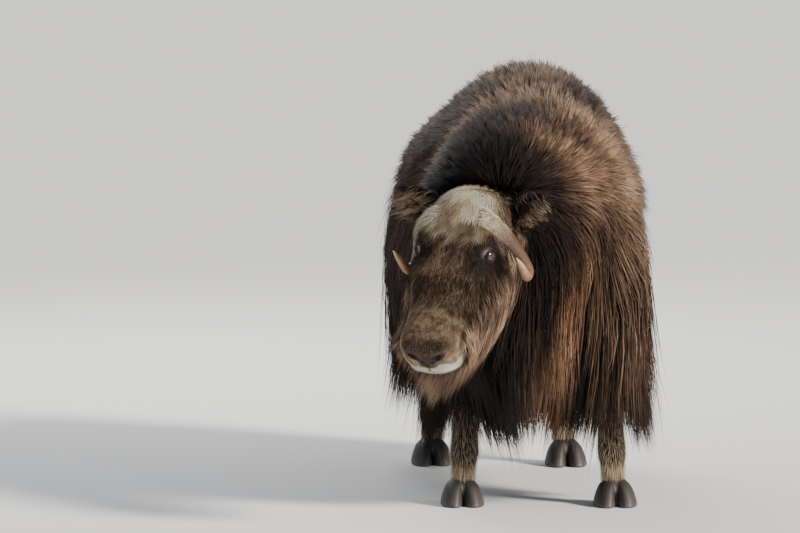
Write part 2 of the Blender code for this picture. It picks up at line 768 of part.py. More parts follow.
def hoof(which):
    """Two toes joined at the heel: a broad round wall, cut by a cleft from the front."""
    x, y, _ = STANCE[which]
    centre = Vector((x, y - 0.034, 0))
    rings = []
    levels = [(0.0, 1.0), (0.006, 1.03), (0.030, 0.97), (0.055, 0.88), (HOOF_TOP, 0.80)]
    for height, scale in levels:
        shift = 0.012 * height / HOOF_TOP
        middle = centre + Vector((0, shift, height))
        half = SOLE_WIDTH / 2 * scale, SOLE_LENGTH / 2 * scale
        rings.append(oval(middle, Vector((1, 0, 0)), Vector((0, -1, 0)), *half, 12, exponent=2.3))
    made = loft("hoof_" + which, rings, HOOF)
    bpy.ops.mesh.primitive_cone_add(vertices=3, radius1=0.016, radius2=0.003, depth=SOLE_LENGTH)
    cleft = bpy.context.object
    cleft.data.transform(Matrix.Rotation(math.radians(-90), 4, "X"))
    cleft.location = centre + Vector((0, -SOLE_LENGTH / 2, -0.001))
    cleft.scale = (0.42, 0.9, 7.0)
    bpy.context.view_layer.update()
    boolean(made, "DIFFERENCE", [cleft])
    return made


TAIL = [
    (0.0, (0.0, 0.985, 0.900, 0.030, 0.020)),
    (0.25, (0.0, 1.060, 0.880, 0.036, 0.022)),
    (0.55, (0.0, 1.105, 0.820, 0.036, 0.020)),
    (0.8, (0.0, 1.118, 0.755, 0.026, 0.014)),
    (1.0, (0.0, 1.120, 0.705, 0.006, 0.004)),
]


def build():
    torso, neck, head = torso_core(), neck_core(), head_core()
    legs = [leg(which) for which in STANCE]
    hooves = [hoof(which) for which in STANCE]
    tail = limb("tail", TAIL, COAT, rings=7, sides=7)
    horns = [horn(side) for side in (1, -1)]
    ears = [ear(side) for side in (1, -1)]
    eyes = [eye(side) for side in (1, -1)]
    bpy.context.view_layer.update()

    forms = tree_of([torso, neck, head] + legs)
    hair = {
        "torso": torso_locks(forms, tree_of([neck])),
        "neck": neck_locks(forms),
        "head": head_locks(forms),
    }
    corners = [vertex.co for vertex in head.data.vertices]
    head_skin = BVHTree.FromPolygons(corners, [list(face.vertices) for face in head.data.polygons])
    rolls, openings = lips(head_skin)
    openings += [nostril_cutter(1), nostril_cutter(-1)]

    def clear_of(things, *haired):
        cutters = [grown(thing, GAP) for thing in things]
        for name in haired:
            cutters += coat_solids(hair[name], GAP)
        return cutters

    neck_form, head_form = grown(neck, 0), grown(head, 0)
    boolean(head, "UNION", rolls + eyelids(1) + eyelids(-1) + coat_solids(hair["head"]))
    boolean(head, "DIFFERENCE", clear_of(horns + ears + eyes) + openings)
    boolean(neck, "UNION", coat_solids(hair["neck"]))
    boolean(neck, "DIFFERENCE", clear_of([head_form] + horns + ears + legs, "head"))
    boolean(torso, "UNION", coat_solids(hair["torso"]))
    boolean(torso, "DIFFERENCE", clear_of([neck_form, tail] + legs, "neck", "head"))
    for form in (neck_form, head_form):
        bpy.data.objects.remove(form)
    for node in (torso, neck, head):
        tidy(node)
    return [torso, neck, head, tail] + legs + hooves + horns + ears + eyes


def set_down(nodes):
    """Carries the nodes on one empty, so that the origin is on the floor at the middle of the model."""
    bpy.context.view_layer.update()
    corners = [node.matrix_world @ vertex.co for node in nodes for vertex in node.data.vertices]
    low = [min(corner[k] for corner in corners) for k in range(3)]
    high = [max(corner[k] for corner in corners) for k in range(3)]
    stand = bpy.data.objects.new("muskox", None)
    collection.objects.link(stand)
    for node in nodes:
        node.parent = stand
    stand.location = (-(low[0] + high[0]) / 2, -(low[1] + high[1]) / 2, -low[2])


clear_scene()
collection = bpy.data.collections.new("muskox")
tools = bpy.data.collections.new("cutters")
for group in (collection, tools):
    bpy.context.scene.collection.children.link(group)
COAT = finish("coat", (0.055, 0.034, 0.022), 0.75)
STOCKING = finish("stocking", (0.52, 0.43, 0.31), 0.8)
HOOF = finish("hoof", (0.045, 0.038, 0.034), 0.5)
HORN_FINISH = finish("horn", (0.38, 0.26, 0.17), 0.42)
EYE = finish("eye", (0.012, 0.008, 0.006), 0.08)
set_down(build())
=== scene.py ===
"""A muskox in its winter coat, standing with its head low and turned to its right."""
import math

import bpy
import numpy as np
from mathutils import Euler, Matrix, Vector
from mathutils.bvhtree import BVHTree
from mathutils.kdtree import KDTree


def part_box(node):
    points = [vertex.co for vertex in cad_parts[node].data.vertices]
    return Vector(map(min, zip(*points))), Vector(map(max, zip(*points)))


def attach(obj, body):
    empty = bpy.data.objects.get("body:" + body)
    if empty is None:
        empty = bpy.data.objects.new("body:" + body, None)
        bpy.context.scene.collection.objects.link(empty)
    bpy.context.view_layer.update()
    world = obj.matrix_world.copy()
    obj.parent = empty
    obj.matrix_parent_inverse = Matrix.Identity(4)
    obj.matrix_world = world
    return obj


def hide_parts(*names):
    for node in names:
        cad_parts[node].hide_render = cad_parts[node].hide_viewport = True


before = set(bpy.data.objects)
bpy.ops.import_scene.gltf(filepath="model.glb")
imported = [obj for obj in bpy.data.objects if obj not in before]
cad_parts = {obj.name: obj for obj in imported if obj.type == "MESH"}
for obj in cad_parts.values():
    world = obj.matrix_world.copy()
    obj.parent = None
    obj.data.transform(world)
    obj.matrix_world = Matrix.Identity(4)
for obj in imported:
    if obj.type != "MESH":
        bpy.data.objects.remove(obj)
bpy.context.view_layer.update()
bpy.ops.object.select_all(action="DESELECT")

# The hide of the trunk, neck, tail and legs, under the wool. Each form is a sphere drawn out along the
# body by its own profiles, and a remesh fuses all of them into one closed surface. The near fore foot
# stands where the solid's does, and every finished piece is moved there.
LEFT_FORE_FOOT = (0.212, -0.153)
hoof_low, hoof_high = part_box("hoof_fore_left")
hoof_middle = (hoof_low + hoof_high) / 2
STAND = Vector((hoof_middle.x - LEFT_FORE_FOOT[0], hoof_middle.y - LEFT_FORE_FOOT[1], 0))
RIDGE = [
    (-0.40, 1.000),
    (-0.27, 1.060),
    (-0.10, 1.112),
    (0.04, 1.125),
    (0.20, 1.100),
    (0.42, 1.045),
    (0.65, 1.010),
    (0.85, 0.985),
    (1.05, 0.920),
]
GIRTH = [
    (-0.40, 0.225),
    (-0.27, 0.245),
    (-0.05, 0.268),
    (0.20, 0.282),
    (0.45, 0.290),
    (0.70, 0.284),
    (0.85, 0.268),
    (1.05, 0.205),
]
BELLY = 0.43
WIDEST = 0.65
TRUNK_FRONT, TRUNK_REAR = (-0.27, 0.13), (0.80, 0.25)
NECK = [
    (0.0, (0.000, -0.130, 0.795, 0.225, 0.260)),
    (0.3, (-0.040, -0.275, 0.795, 0.225, 0.255)),
    (0.55, (-0.095, -0.390, 0.785, 0.200, 0.230)),
    (0.8, (-0.155, -0.490, 0.765, 0.160, 0.190)),
    (1.0, (-0.200, -0.560, 0.750, 0.095, 0.125)),
]
TAIL = [
    (0.0, (0.0, 0.950, 0.900, 0.024, 0.018)),
    (0.25, (0.0, 1.010, 0.885, 0.026, 0.018)),
    (0.55, (0.0, 1.058, 0.830, 0.024, 0.016)),
    (0.8, (0.0, 1.080, 0.770, 0.018, 0.012)),
    (1.0, (0.0, 1.090, 0.725, 0.008, 0.006)),
]
FORE_LEG = [
    (0.0, (0.00, 0.560, 0.070, 0.085)),
    (0.3, (0.02, 0.440, 0.062, 0.071)),
    (0.55, (-0.02, 0.310, 0.050, 0.052)),
    (0.75, (-0.01, 0.205, 0.038, 0.041)),
    (0.9, (-0.015, 0.120, 0.043, 0.047)),
    (1.0, (-0.022, 0.020, 0.043, 0.046)),
]
HIND_LEG = [
    (0.0, (-0.05, 0.580, 0.085, 0.120)),
    (0.25, (-0.03, 0.460, 0.072, 0.096)),
    (0.5, (0.045, 0.330, 0.046, 0.060)),
    (0.75, (0.020, 0.205, 0.037, 0.041)),
    (0.9, (0.000, 0.120, 0.042, 0.047)),
    (1.0, (-0.014, 0.020, 0.042, 0.045)),
]
STANCE = {
    "fore_left": (0.212, -0.120, FORE_LEG),
    "fore_right": (-0.190, -0.075, FORE_LEG),
    "hind_left": (0.180, 0.790, HIND_LEG),
    "hind_right": (-0.185, 0.850, HIND_LEG),
}


def profile(keys, at):
    """The value at a place along a smooth curve through (place, value) keys; the value may be a tuple."""
    if isinstance(keys[0][1], tuple):
        columns = range(len(keys[0][1]))
        return tuple(profile([(key, values[k]) for key, values in keys], at) for k in columns)
    places = [key for key, _ in keys]
    values = [value for _, value in keys]
    if at <= places[0]:
        return values[0]
    if at >= places[-1]:
        return values[-1]
    i = max(k for k, place in enumerate(places[:-1]) if place <= at)

    def slope(k):
        before, after = max(k - 1, 0), min(k + 1, len(keys) - 1)
        return (values[after] - values[before]) / (places[after] - places[before])

    span = places[i + 1] - places[i]
    t = (at - places[i]) / span
    return (
        values[i] * (1 + 2 * t) * (1 - t) ** 2
        + slope(i) * span * t * (1 - t) ** 2
        + values[i + 1] * t * t * (3 - 2 * t)
        + slope(i + 1) * span * t * t * (t - 1)
    )


def power(value, exponent):
    """A power that keeps the sign of its value."""
    return math.copysign(abs(value) ** exponent, value)


def drawn_out(name, segments, rings, surface):
    """A sphere whose poles become the two ends of a form: surface(along, turn) places each vertex."""
    bpy.ops.mesh.primitive_uv_sphere_add(segments=segments, ring_count=rings)
    form = bpy.context.object
    form.name = form.data.name = name
    reached = form.data.attributes.new("along", "FLOAT", "POINT")
    for vertex, reach in zip(form.data.vertices, reached.data):
        reach.value = math.acos(max(-1, min(1, vertex.co.z))) / math.pi
        vertex.co = surface(reach.value, math.atan2(vertex.co.y, vertex.co.x))
    bpy.ops.object.mode_set(mode="EDIT")
    bpy.ops.mesh.select_all(action="SELECT")
    bpy.ops.mesh.normals_make_consistent(inside=False)
    bpy.ops.object.mode_set(mode="OBJECT")
    return form


def trunk(along, turn):
    """A loaf round the spine that is rounded at both ends; turn is 0 on the back."""
    front, rear = TRUNK_FRONT[0] - TRUNK_FRONT[1], TRUNK_REAR[0] + TRUNK_REAR[1]
    y = (front + rear) / 2 - (rear - front) / 2 * math.cos(math.pi * along)
    end = max((TRUNK_FRONT[0] - y) / TRUNK_FRONT[1], (y - TRUNK_REAR[0]) / TRUNK_REAR[1], 0)
    end = min(end, 1)
    fullness = 2.0 if math.cos(turn) > 0 else 2.4
    half = (profile(RIDGE, y) - WIDEST) if math.cos(turn) > 0 else (WIDEST - BELLY)
    half *= (1 - end**fullness) ** (1 / fullness)
    across = profile(GIRTH, y) * math.sqrt(1 - end * end)
    x = across * power(math.sin(turn), 2 / fullness)
    return Vector((x, y, WIDEST + half * power(math.cos(turn), 2 / fullness)))


def neck(along, turn):
    """A bent oval bar from the shoulders to the back of the head, blunt at its front end."""
    x, y, z, half_width, half_height = profile(NECK, along)
    ahead = Vector(profile(NECK, along + 0.02)[:3])
    heading = (ahead - Vector(profile(NECK, along - 0.02)[:3])).normalized()
    side = Vector((-heading.y, heading.x, 0)).normalized()
    blunt = min(1, 4 * math.sin(math.pi * along)) ** 0.5 if along > 0.5 else 1
    blunt = 0 if along in (0, 1) else blunt
    offset = side * half_width * math.sin(turn) + heading.cross(side) * half_height * math.cos(turn)
    return Vector((x, y, z)) + offset * blunt


def limb(keys, across=Vector((1, 0, 0))):
    """A surface for drawn_out: a bent tube through (place, (x, y, z, half width, half depth)) keys."""

    def surface(along, turn):
        at = 0.5 - 0.5 * math.cos(math.pi * along) if len(keys) > 6 else along
        x, y, z, half_width, half_depth = profile(keys, at)
        ahead = Vector(profile(keys, min(at + 0.01, 1))[:3])
        heading = (ahead - Vector(profile(keys, max(at - 0.01, 0))[:3])).normalized()
        side = (across - heading * across.dot(heading)).normalized()
        blunt = math.sqrt(min(1, 8 * along, 8 * (1 - along)))
        offset = side * half_width * math.sin(turn) + side.cross(heading) * half_depth * math.cos(turn)
        return Vector((x, y, z)) + offset * blunt

    return surface


def leg(which):
    """A leg from inside the trunk down into its hoof, leaning in towards the top."""
    x, y, keys = STANCE[which]
    placed = []
    for place, (forward, height, half_width, half_depth) in keys:
        lean = 1 - 0.14 * min(1, height / 0.56)
        placed.append((place, (x * lean, y + forward, height, half_width, half_depth)))
    return drawn_out("leg_" + which, 24, 40, limb(placed))


def only(thing):
    """Makes one object the selected and active one, for the operators that follow."""
    bpy.ops.object.select_all(action="DESELECT")
    thing.select_set(True)
    bpy.context.view_layer.objects.active = thing


def joined(things, name):
    """Makes one object of several."""
    only(things[0])
    for thing in things:
        thing.select_set(True)
    bpy.ops.object.join()
    things[0].name = things[0].data.name = name
    return things[0]


def corners_of(thing):
    """Where each corner of a mesh is."""
    values = np.empty(len(thing.data.vertices) * 3, np.float32)
    thing.data.vertices.foreach_get("co", values)
    return values.reshape(-1, 3)


def normals_of(thing):
    """Which way the surface faces at each corner of a mesh."""
    values = np.empty(len(thing.data.vertices) * 3, np.float32)
    thing.data.vertex_normals.foreach_get("vector", values)
    return values.reshape(-1, 3)


def put_corners(thing, corners):
    thing.data.vertices.foreach_set("co", corners.astype(np.float32).ravel())
    thing.data.update()


def with_modifier(thing, kind, **settings):
    """Adds a modifier, sets it and applies it."""
    only(thing)
    step = thing.modifiers.new(kind.lower(), kind)
    for key, value in settings.items():
        setattr(step, key, value)
    bpy.ops.object.modifier_apply(modifier=step.name)


def copy_of(thing):
    """A copy with a mesh of its own."""
    only(thing)
    bpy.ops.object.duplicate()
    return bpy.context.object


SKIN_INSET, LEG_INSET = 0.008, 0.003
LEG_TOP, LEG_BLEND = 0.45, 0.1
forms = {
    "trunk": drawn_out("trunk", 64, 80, trunk),
    "neck": drawn_out("neck", 48, 40, neck),
    "tail": drawn_out("tail", 16, 24, limb(TAIL)),
}
forms.update({which: leg(which) for which in STANCE})
body = joined([copy_of(form) for form in forms.values()], "skin")
with_modifier(body, "REMESH", mode="VOXEL", voxel_size=0.012)
with_modifier(body, "SMOOTH", factor=0.5, iterations=6)
body_corners = corners_of(body)
leg_share = np.clip((LEG_TOP - body_corners[:, 2:]) / LEG_BLEND, 0, 1)
put_corners(body, body_corners - normals_of(body) * (SKIN_INSET + (LEG_INSET - SKIN_INSET) * leg_share))

# The head: skin over the skull with brow, cheeks, lips, nostrils and lids, and the cupped ears. It is
# shaped in its own frame, where the poll is at zero, the nose points along -Y and the forehead faces +Z,
# and is then turned into its place and made one with the hide of the neck.
POLL = Vector((-0.217, -0.598, 0.860))
PITCH, ROLL, TURN = (math.radians(angle) for angle in (46.5, 1, -27.5))
HEAD_PLACE = Matrix.Translation(POLL) @ Euler((PITCH, ROLL, TURN)).to_matrix().to_4x4()
HEAD = [
    (-0.050, (0.055, -0.030, -0.085, -0.140, 2.0)),
    (-0.030, (0.084, -0.004, -0.085, -0.172, 2.1)),
    (0.010, (0.104, 0.022, -0.080, -0.198, 2.2)),
    (0.080, (0.113, 0.034, -0.065, -0.212, 2.3)),
    (0.165, (0.107, 0.026, -0.055, -0.205, 2.3)),
    (0.240, (0.094, 0.012, -0.060, -0.180, 2.4)),
    (0.320, (0.078, 0.003, -0.065, -0.148, 2.4)),
    (0.385, (0.073, 0.000, -0.066, -0.136, 2.5)),
    (0.430, (0.073, -0.003, -0.066, -0.136, 2.6)),
    (0.462, (0.064, -0.014, -0.066, -0.128, 2.6)),
    (0.478, (0.047, -0.030, -0.066, -0.110, 2.4)),
    (0.485, (0.024, -0.048, -0.066, -0.088, 2.0)),
]
EYE_PLACE = Vector((0.0900, -0.1720, -0.0160))
EYE_RADIUS = 0.0185
SWELLINGS = [
    (Vector((0.088, -0.142, 0.004)), 0.034, 0.012),
    (Vector((0.095, -0.212, -0.040)), 0.036, 0.006),
    (Vector((0.090, -0.260, -0.110)), 0.070, 0.012),
    (Vector((0.042, -0.452, -0.040)), 0.030, 0.007),
    (Vector((0.056, -0.425, -0.092)), 0.034, 0.008),
    (Vector((0.000, -0.435, -0.140)), 0.040, 0.010),
    (Vector((0.000, -0.045, 0.045)), 0.070, 0.018),
]


def mirrored(point, side):
    """A point of the head's left side, or its twin on the right where side is -1."""
    return Vector((point[0] * side, point[1], point[2]))


def face(along, turn):
    """The head between the nape and the nose; turn is 0 on the forehead."""
    first, last = HEAD[0][0], HEAD[-1][0]
    at = first + (last - first) * (0.5 - 0.5 * math.cos(math.pi * along))
    half_width, top, widest, bottom, fullness = profile(HEAD, at)
    height = (top - widest) if math.cos(turn) > 0 else (widest - bottom)
    blunt = math.sqrt(min(1, 10 * along, 14 * (1 - along)))
    x = half_width * power(math.sin(turn), 2 / fullness) * blunt
    return Vector((x, -at, widest + height * power(math.cos(turn), 2 / fullness) * blunt))


def tube(name, points, radii):
    """A round bar through points, thinner at its ends, as a mesh."""
    curve = bpy.data.curves.new(name, "CURVE")
    curve.dimensions = "3D"
    curve.bevel_depth = 1.0
    curve.bevel_resolution = 4
    curve.use_fill_caps = True
    line = curve.splines.new("POLY")
    line.points.add(len(points) - 1)
    for control, point, radius in zip(line.points, points, radii):
        control.co = (*point, 1)
        control.radius = radius
    thing = bpy.data.objects.new(name, curve)
    bpy.context.scene.collection.objects.link(thing)
    only(thing)
    bpy.ops.object.convert(target="MESH")
    thing = bpy.context.object
    bpy.ops.object.mode_set(mode="EDIT")
    bpy.ops.mesh.select_all(action="SELECT")
    bpy.ops.mesh.remove_doubles(threshold=1e-5)
    bpy.ops.mesh.normals_make_consistent(inside=False)
    bpy.ops.object.mode_set(mode="OBJECT")
    return thing


head = drawn_out("head", 96, 128, face)
bumps = []
for centre, radius, height in SWELLINGS:
    for side in (1, -1) if centre.x else (1,):
        bumps.append((mirrored(centre, side), radius, height))
corners, normals = corners_of(head), normals_of(head)
for centre, radius, height in bumps:
    nearness = np.exp(-(((corners - np.array(centre)) ** 2).sum(axis=1) / radius**2))
    corners = corners + normals * (height * nearness)[:, None]
put_corners(head, corners)


def tree_of(thing):
    """A tree that finds the nearest place on an object's surface."""
    corners = [vertex.co for vertex in thing.data.vertices]
    return BVHTree.FromPolygons(corners, [list(polygon.vertices) for polygon in thing.data.polygons])


head_tree = tree_of(head)
LIP_STEPS = 25


def mouth_line(raised, lowered):
    """Points from one corner of the mouth round the nose to the other, on the head's surface."""
    points = []
    for k in range(LIP_STEPS):
        share = 2 * k / (LIP_STEPS - 1) - 1
        back = 0.395 + 0.072 * (1 - abs(share) ** 1.6)
        outward = Vector((math.sin(share * math.pi / 2), -math.cos(share * math.pi / 2) * 0.9, -0.33))
        spot, normal, _, _ = head_tree.ray_cast(Vector((0, -min(back, 0.452), -0.085)), outward.normalized())
        points.append(spot + normal * raised + Vector((0, 0, lowered)))
    return points


def swollen(radius):
    """The radii of a lip, which is fullest under the nose."""
    turns = [math.pi * k / (LIP_STEPS - 1) for k in range(LIP_STEPS)]
    return [radius * (0.55 + 0.45 * math.sin(turn) ** 0.5) for turn in turns]


EYE_OPENING, OPENING_OUT = Vector((0.0205, 0.0122, 0.0170)), 0.014
LIDS = ((44, 0.0046), (-40, 0.0038))
LID_STEPS = 16


def gaze(side):
    """Where an eye looks, and the ways to the nose and up across it."""
    outward = Vector((side, -0.33, 0.22)).normalized()
    nose = Vector((0, -1, -0.18))
    forward = (nose - outward * nose.dot(outward)).normalized()
    return outward, forward, forward.cross(outward) * side


def lids(side):
    """Upper and lower lid round the ball of the eye."""
    rolls = []
    outward, forward, above = gaze(side)
    for rise, thick in LIDS:
        points, radii = [], []
        for k in range(LID_STEPS + 1):
            sweep = math.pi * (k / LID_STEPS - 0.5)
            lift = math.radians(rise) * math.cos(sweep)
            level = outward * math.cos(sweep * 0.66) + forward * math.sin(sweep * 0.66)
            direction = level.normalized() * math.cos(lift) + above * math.sin(lift)
            points.append(mirrored(EYE_PLACE, side) + direction * (EYE_RADIUS + 0.0010))
            radii.append(thick * (0.7 + 0.3 * math.cos(sweep)))
        rolls.append(tube("lid", points, radii))
    return rolls


EAR_ROOT = Vector((0.088, -0.022, -0.050))
EAR_WAY = Vector((0.86, 0.34, 0.38)).normalized()
EAR_LENGTH = 0.120
EAR_WALL = 0.0075


def ear(side):
    """A leaf of skin rolled round a cup that opens forwards."""
    root, way = mirrored(EAR_ROOT, side), mirrored(EAR_WAY, side)
    open_to = mirrored(Vector((0.15, -0.35, 0.90)), side)
    open_to = (open_to - way * open_to.dot(way)).normalized()
    across = way.cross(open_to)

    def surface(along, turn):
        half = 0.032 * math.sin(math.pi * min(1, 0.16 + along * 0.84)) ** 0.8 + 0.001
        centre = root + way * EAR_LENGTH * along - open_to * 0.012 * math.sin(math.pi * along)
        inside = math.sin(turn) > 0
        sweep = math.pi - abs(turn) if inside else abs(turn)
        depth = math.sin(sweep) * half * 0.75
        if inside:
            depth = max(-EAR_WALL * 0.4, depth - EAR_WALL * 1.5 * (0.3 + 0.7 * math.sin(sweep)))
        depth += 0 if inside else EAR_WALL * 0.5
        return centre + across * half * math.cos(turn) - open_to * depth

    return drawn_out("ear", 48, 40, surface)


lips = [
    tube("upper_lip", mouth_line(-0.0035, 0.0085), swollen(0.0085)),
    tube("lower_lip", mouth_line(-0.0040, -0.0080), swollen(0.0078)),
]
ears = [ear(1), ear(-1)]
ear_forms = [copy_of(form) for form in ears]
forms["head"] = copy_of(head)
face_skin = joined([head] + lips + ears + lids(1) + lids(-1), "face")
with_modifier(face_skin, "REMESH", mode="VOXEL", voxel_size=0.0032)
with_modifier(face_skin, "SMOOTH", factor=0.5, iterations=3)
NOSTRIL = [
    ((0.017, -0.4930, -0.059), 0.0075),
    ((0.030, -0.4830, -0.052), 0.0100),
    ((0.045, -0.4690, -0.045), 0.0085),
    ((0.056, -0.4500, -0.040), 0.0045),
]
for side in (1, -1):
    hole = tube("hole", [mirrored(point, side) for point, _ in NOSTRIL], [radius for _, radius in NOSTRIL])
    with_modifier(face_skin, "BOOLEAN", object=hole, operation="DIFFERENCE", solver="MANIFOLD")
    bpy.data.objects.remove(hole)
for side in (1, -1):
    outward, forward, above = gaze(side)
    bpy.ops.mesh.primitive_uv_sphere_add(segments=32, ring_count=20)
    opening = bpy.context.object
    shape = Matrix((forward, above, outward)).transposed() @ Matrix.Diagonal(EYE_OPENING)
    middle = mirrored(EYE_PLACE, side) + outward * OPENING_OUT
    opening.data.transform(Matrix.Translation(middle) @ shape.to_4x4())
    with_modifier(face_skin, "BOOLEAN", object=opening, operation="DIFFERENCE", solver="MANIFOLD")
    bpy.data.objects.remove(opening)
MOUTH_GAP = 0.0022
gap = tube("gap", mouth_line(0.004, 0.0), [MOUTH_GAP] * LIP_STEPS)
with_modifier(face_skin, "BOOLEAN", object=gap, operation="DIFFERENCE", solver="MANIFOLD")
bpy.data.objects.remove(gap)
for thing in [face_skin, forms["head"]] + ear_forms:
    thing.data.transform(HEAD_PLACE)
for form, name in zip(ear_forms, ("ear_left", "ear_right")):
    forms[name] = form
with_modifier(body, "BOOLEAN", object=face_skin, operation="UNION", solver="MANIFOLD")
skin = body
skin_tree = tree_of(skin)
face_tree = tree_of(face_skin)
bpy.data.objects.remove(face_skin)

# The coat: long guard hair over wool. Every tuft is a thin closed blade of mesh that leaves the hide at a
# low angle, follows the lie of the coat and sinks under its own weight; neighbours bend to one point.
# The same marks colour the tufts and the hide between them.
HEM_HEIGHT = 0.215
PATCH_SIZE = 0.003
CREST_AHEAD, CREST_WIDTH = 0.275, 0.060
SADDLE_BACK, SADDLE_WIDTH = 0.42, 0.17
FRINGE_OUT, FRINGE_WIDTH = 0.045, 0.045
FURROW_OUT, FURROW_WIDTH = 0.075, 0.013
COAT_SEED = 62
dice = np.random.default_rng(COAT_SEED)
BACK = np.array([0.0, 1.0, 0.0])
DOWN = np.array([0.0, 0.0, -1.0])


def unit(vectors):
    """Each vector at a length of one."""
    return vectors / np.maximum(np.linalg.norm(vectors, axis=-1, keepdims=True), 1e-9)


def dot(first, second):
    """The dot product of each pair of vectors."""
    return (first * second).sum(axis=-1, keepdims=True)


def step_up(low, high, values):
    """0 below low, 1 above high, and a smooth rise between them."""
    share = np.clip((values - low) / (high - low), 0, 1)
    return share * share * (3 - 2 * share)


WAVES = dice.normal(size=(24, 3))
PHASES = dice.random(24) * 2 * math.pi


def patches(places, size):
    """Soft uneven patches over a surface, from -1 to 1."""
    waves = np.sin(places @ (WAVES / size).T + PHASES)
    return np.clip(waves.sum(axis=1) / 5, -1, 1)


def roots_on(thing, count, weights):
    """Even places on a mesh and the normals there, closer together where its corners weigh more."""
    mesh = thing.data
    mesh.calc_loop_triangles()
    faces = np.empty(len(mesh.loop_triangles) * 3, np.int32)
    mesh.loop_triangles.foreach_get("vertices", faces)
    faces = faces.reshape(-1, 3)
    corners, normals = corners_of(thing)[faces], normals_of(thing)[faces]
    areas = np.linalg.norm(np.cross(corners[:, 1] - corners[:, 0], corners[:, 2] - corners[:, 0]), axis=1)
    reach = np.cumsum(areas * weights[faces].mean(axis=1))
    chosen = np.searchsorted(reach, (np.arange(count) + dice.random(count)) / count * reach[-1])
    chosen = np.minimum(chosen, len(faces) - 1)
    shares = dice.random((count, 2))
    shares = np.where(shares.sum(axis=1, keepdims=True) > 1, 1 - shares, shares)
    shares = np.concatenate([1 - shares.sum(axis=1, keepdims=True), shares], axis=1)[:, :, None]
    places = (corners[chosen] * shares).sum(axis=1)
    return places, unit((normals[chosen] * shares).sum(axis=1))


def on_skin(places):
    """The nearest places on the skin, and the normals there."""
    spots, normals = np.empty_like(places), np.empty_like(places)
    for k, place in enumerate(places):
        spots[k], normals[k], _, _ = skin_tree.find_nearest(place)
    return spots, normals


def combed(places, normals, lie_of, lengths, rises, weights, steps, start):
    """The points of each tuft from root to tip: it rises off the skin, then lies down along it."""
    strides = steps * 2 if steps > 1 else 1
    points = [places]
    lie = lie_of(places, normals)
    heading = unit(unit(lie - normals * dot(lie, normals)) + normals * start)
    for k in range(1, strides + 1):
        place = points[-1] + heading * (lengths / strides)[:, None]
        spots, near = on_skin(place)
        off = ((place - spots) * near).sum(axis=1)
        wanted = rises * (1 - (1 - k / strides) ** 2) * 0.85 + 0.002
        lifted = np.clip(wanted - off, 0, None) * 0.7
        lowered = np.clip(off - rises, 0, None) * 0.8 * step_up(-0.5, 0.0, near[:, 2])
        lowered *= step_up(0.42, 0.64, place[:, 2])
        place = place + near * (lifted - lowered)[:, None]
        lie = unit(lie_of(place, near))
        heading = unit(unit(place - points[-1]) * 0.6 + lie * 0.4 + DOWN * weights[:, None] / steps * 1.5)
        outward = dot(heading, near)
        heading = unit(heading - near * np.clip(outward, 0, None) * (off > wanted)[:, None] * 0.5)
        points.append(place)
    points = np.stack(points, axis=1)
    for _ in range(2 if strides > 1 else 0):
        points[:, 1:-1] = points[:, :-2] * 0.25 + points[:, 1:-1] * 0.5 + points[:, 2:] * 0.25
    return points[:, :: strides // steps]


def tufts(name, points, normals, widths, marks, spots):
    """A joined mesh of closed blades, three-sided, widest at a third and pointed at the tip."""
    count, rings = points.shape[0], points.shape[1] - 1
    heading = unit(np.gradient(points, axis=1))
    across = unit(np.cross(heading, normals[:, None, :]))
    above = np.cross(across, heading)
    at = np.arange(rings) / rings
    wide = (0.75 + 0.5 * at) * (1 - at**2.2)
    half = widths[:, None, None] * 0.5 * wide[None, :, None]
    base = points[:, :-1]
    across, above = across[:, :-1] * half, above[:, :-1] * half
    below = above * 0.25
    corners = np.stack([base + across - below, base - across - below, base + above * 0.5], axis=2)
    corners = np.concatenate([corners.reshape(count, rings * 3, 3), points[:, -1:]], axis=1)
    faces = [(0, 2, 1)]
    for ring in range(rings - 1):
        for side in range(3):
            here, beside = 3 * ring + side, 3 * ring + (side + 1) % 3
            faces += [(here, beside, beside + 3), (here, beside + 3, here + 3)]
    tip = 3 * rings
    faces += [(tip - 3 + side, tip - 3 + (side + 1) % 3, tip) for side in range(3)]
    faces = np.array(faces)
    each = rings * 3 + 1
    loops = (faces[None] + (np.arange(count) * each)[:, None, None]).reshape(-1)
    mesh = bpy.data.meshes.new(name)
    mesh.vertices.add(count * each)
    mesh.vertices.foreach_set("co", corners.astype(np.float32).ravel())
    mesh.loops.add(len(loops))
    mesh.loops.foreach_set("vertex_index", loops.astype(np.int32))
    mesh.polygons.add(len(loops) // 3)
    mesh.polygons.foreach_set("loop_start", np.arange(0, len(loops), 3, dtype=np.int32))
    mesh.polygons.foreach_set("use_smooth", np.ones(len(loops) // 3, bool))
    along = np.append(np.repeat(at, 3), 1.0)
    across_patch = np.append(np.tile([0.0, 1.0, 0.5], rings), 0.5)
    patch = np.stack([across_patch, along], axis=1)[None] * PATCH_SIZE + spots[:, None]
    unwrap = mesh.uv_layers.new(name="OFBake").data
    unwrap.foreach_set("uv", patch.reshape(-1, 2)[loops].astype(np.float32).ravel())
    mesh.update(calc_edges=True)
    marked = mesh.attributes.new("marks", "FLOAT_VECTOR", "POINT")
    marked.data.foreach_set("vector", np.repeat(marks, each, axis=0).astype(np.float32).ravel())
    reached = mesh.attributes.new("along", "FLOAT", "POINT")
    reached.data.foreach_set("value", np.tile(along, count).astype(np.float32))
    thing = bpy.data.objects.new(name, mesh)
    bpy.context.scene.collection.objects.link(thing)
    return thing


def in_head(places):
    """Places in the head's own frame."""
    turn = np.array(HEAD_PLACE.inverted())
    return places @ turn[:3, :3].T + turn[:3, 3]


def out_of_head(*way):
    """A way in the head's own frame, turned into the animal's."""
    return np.array(HEAD_PLACE)[:3, :3] @ np.array(way)


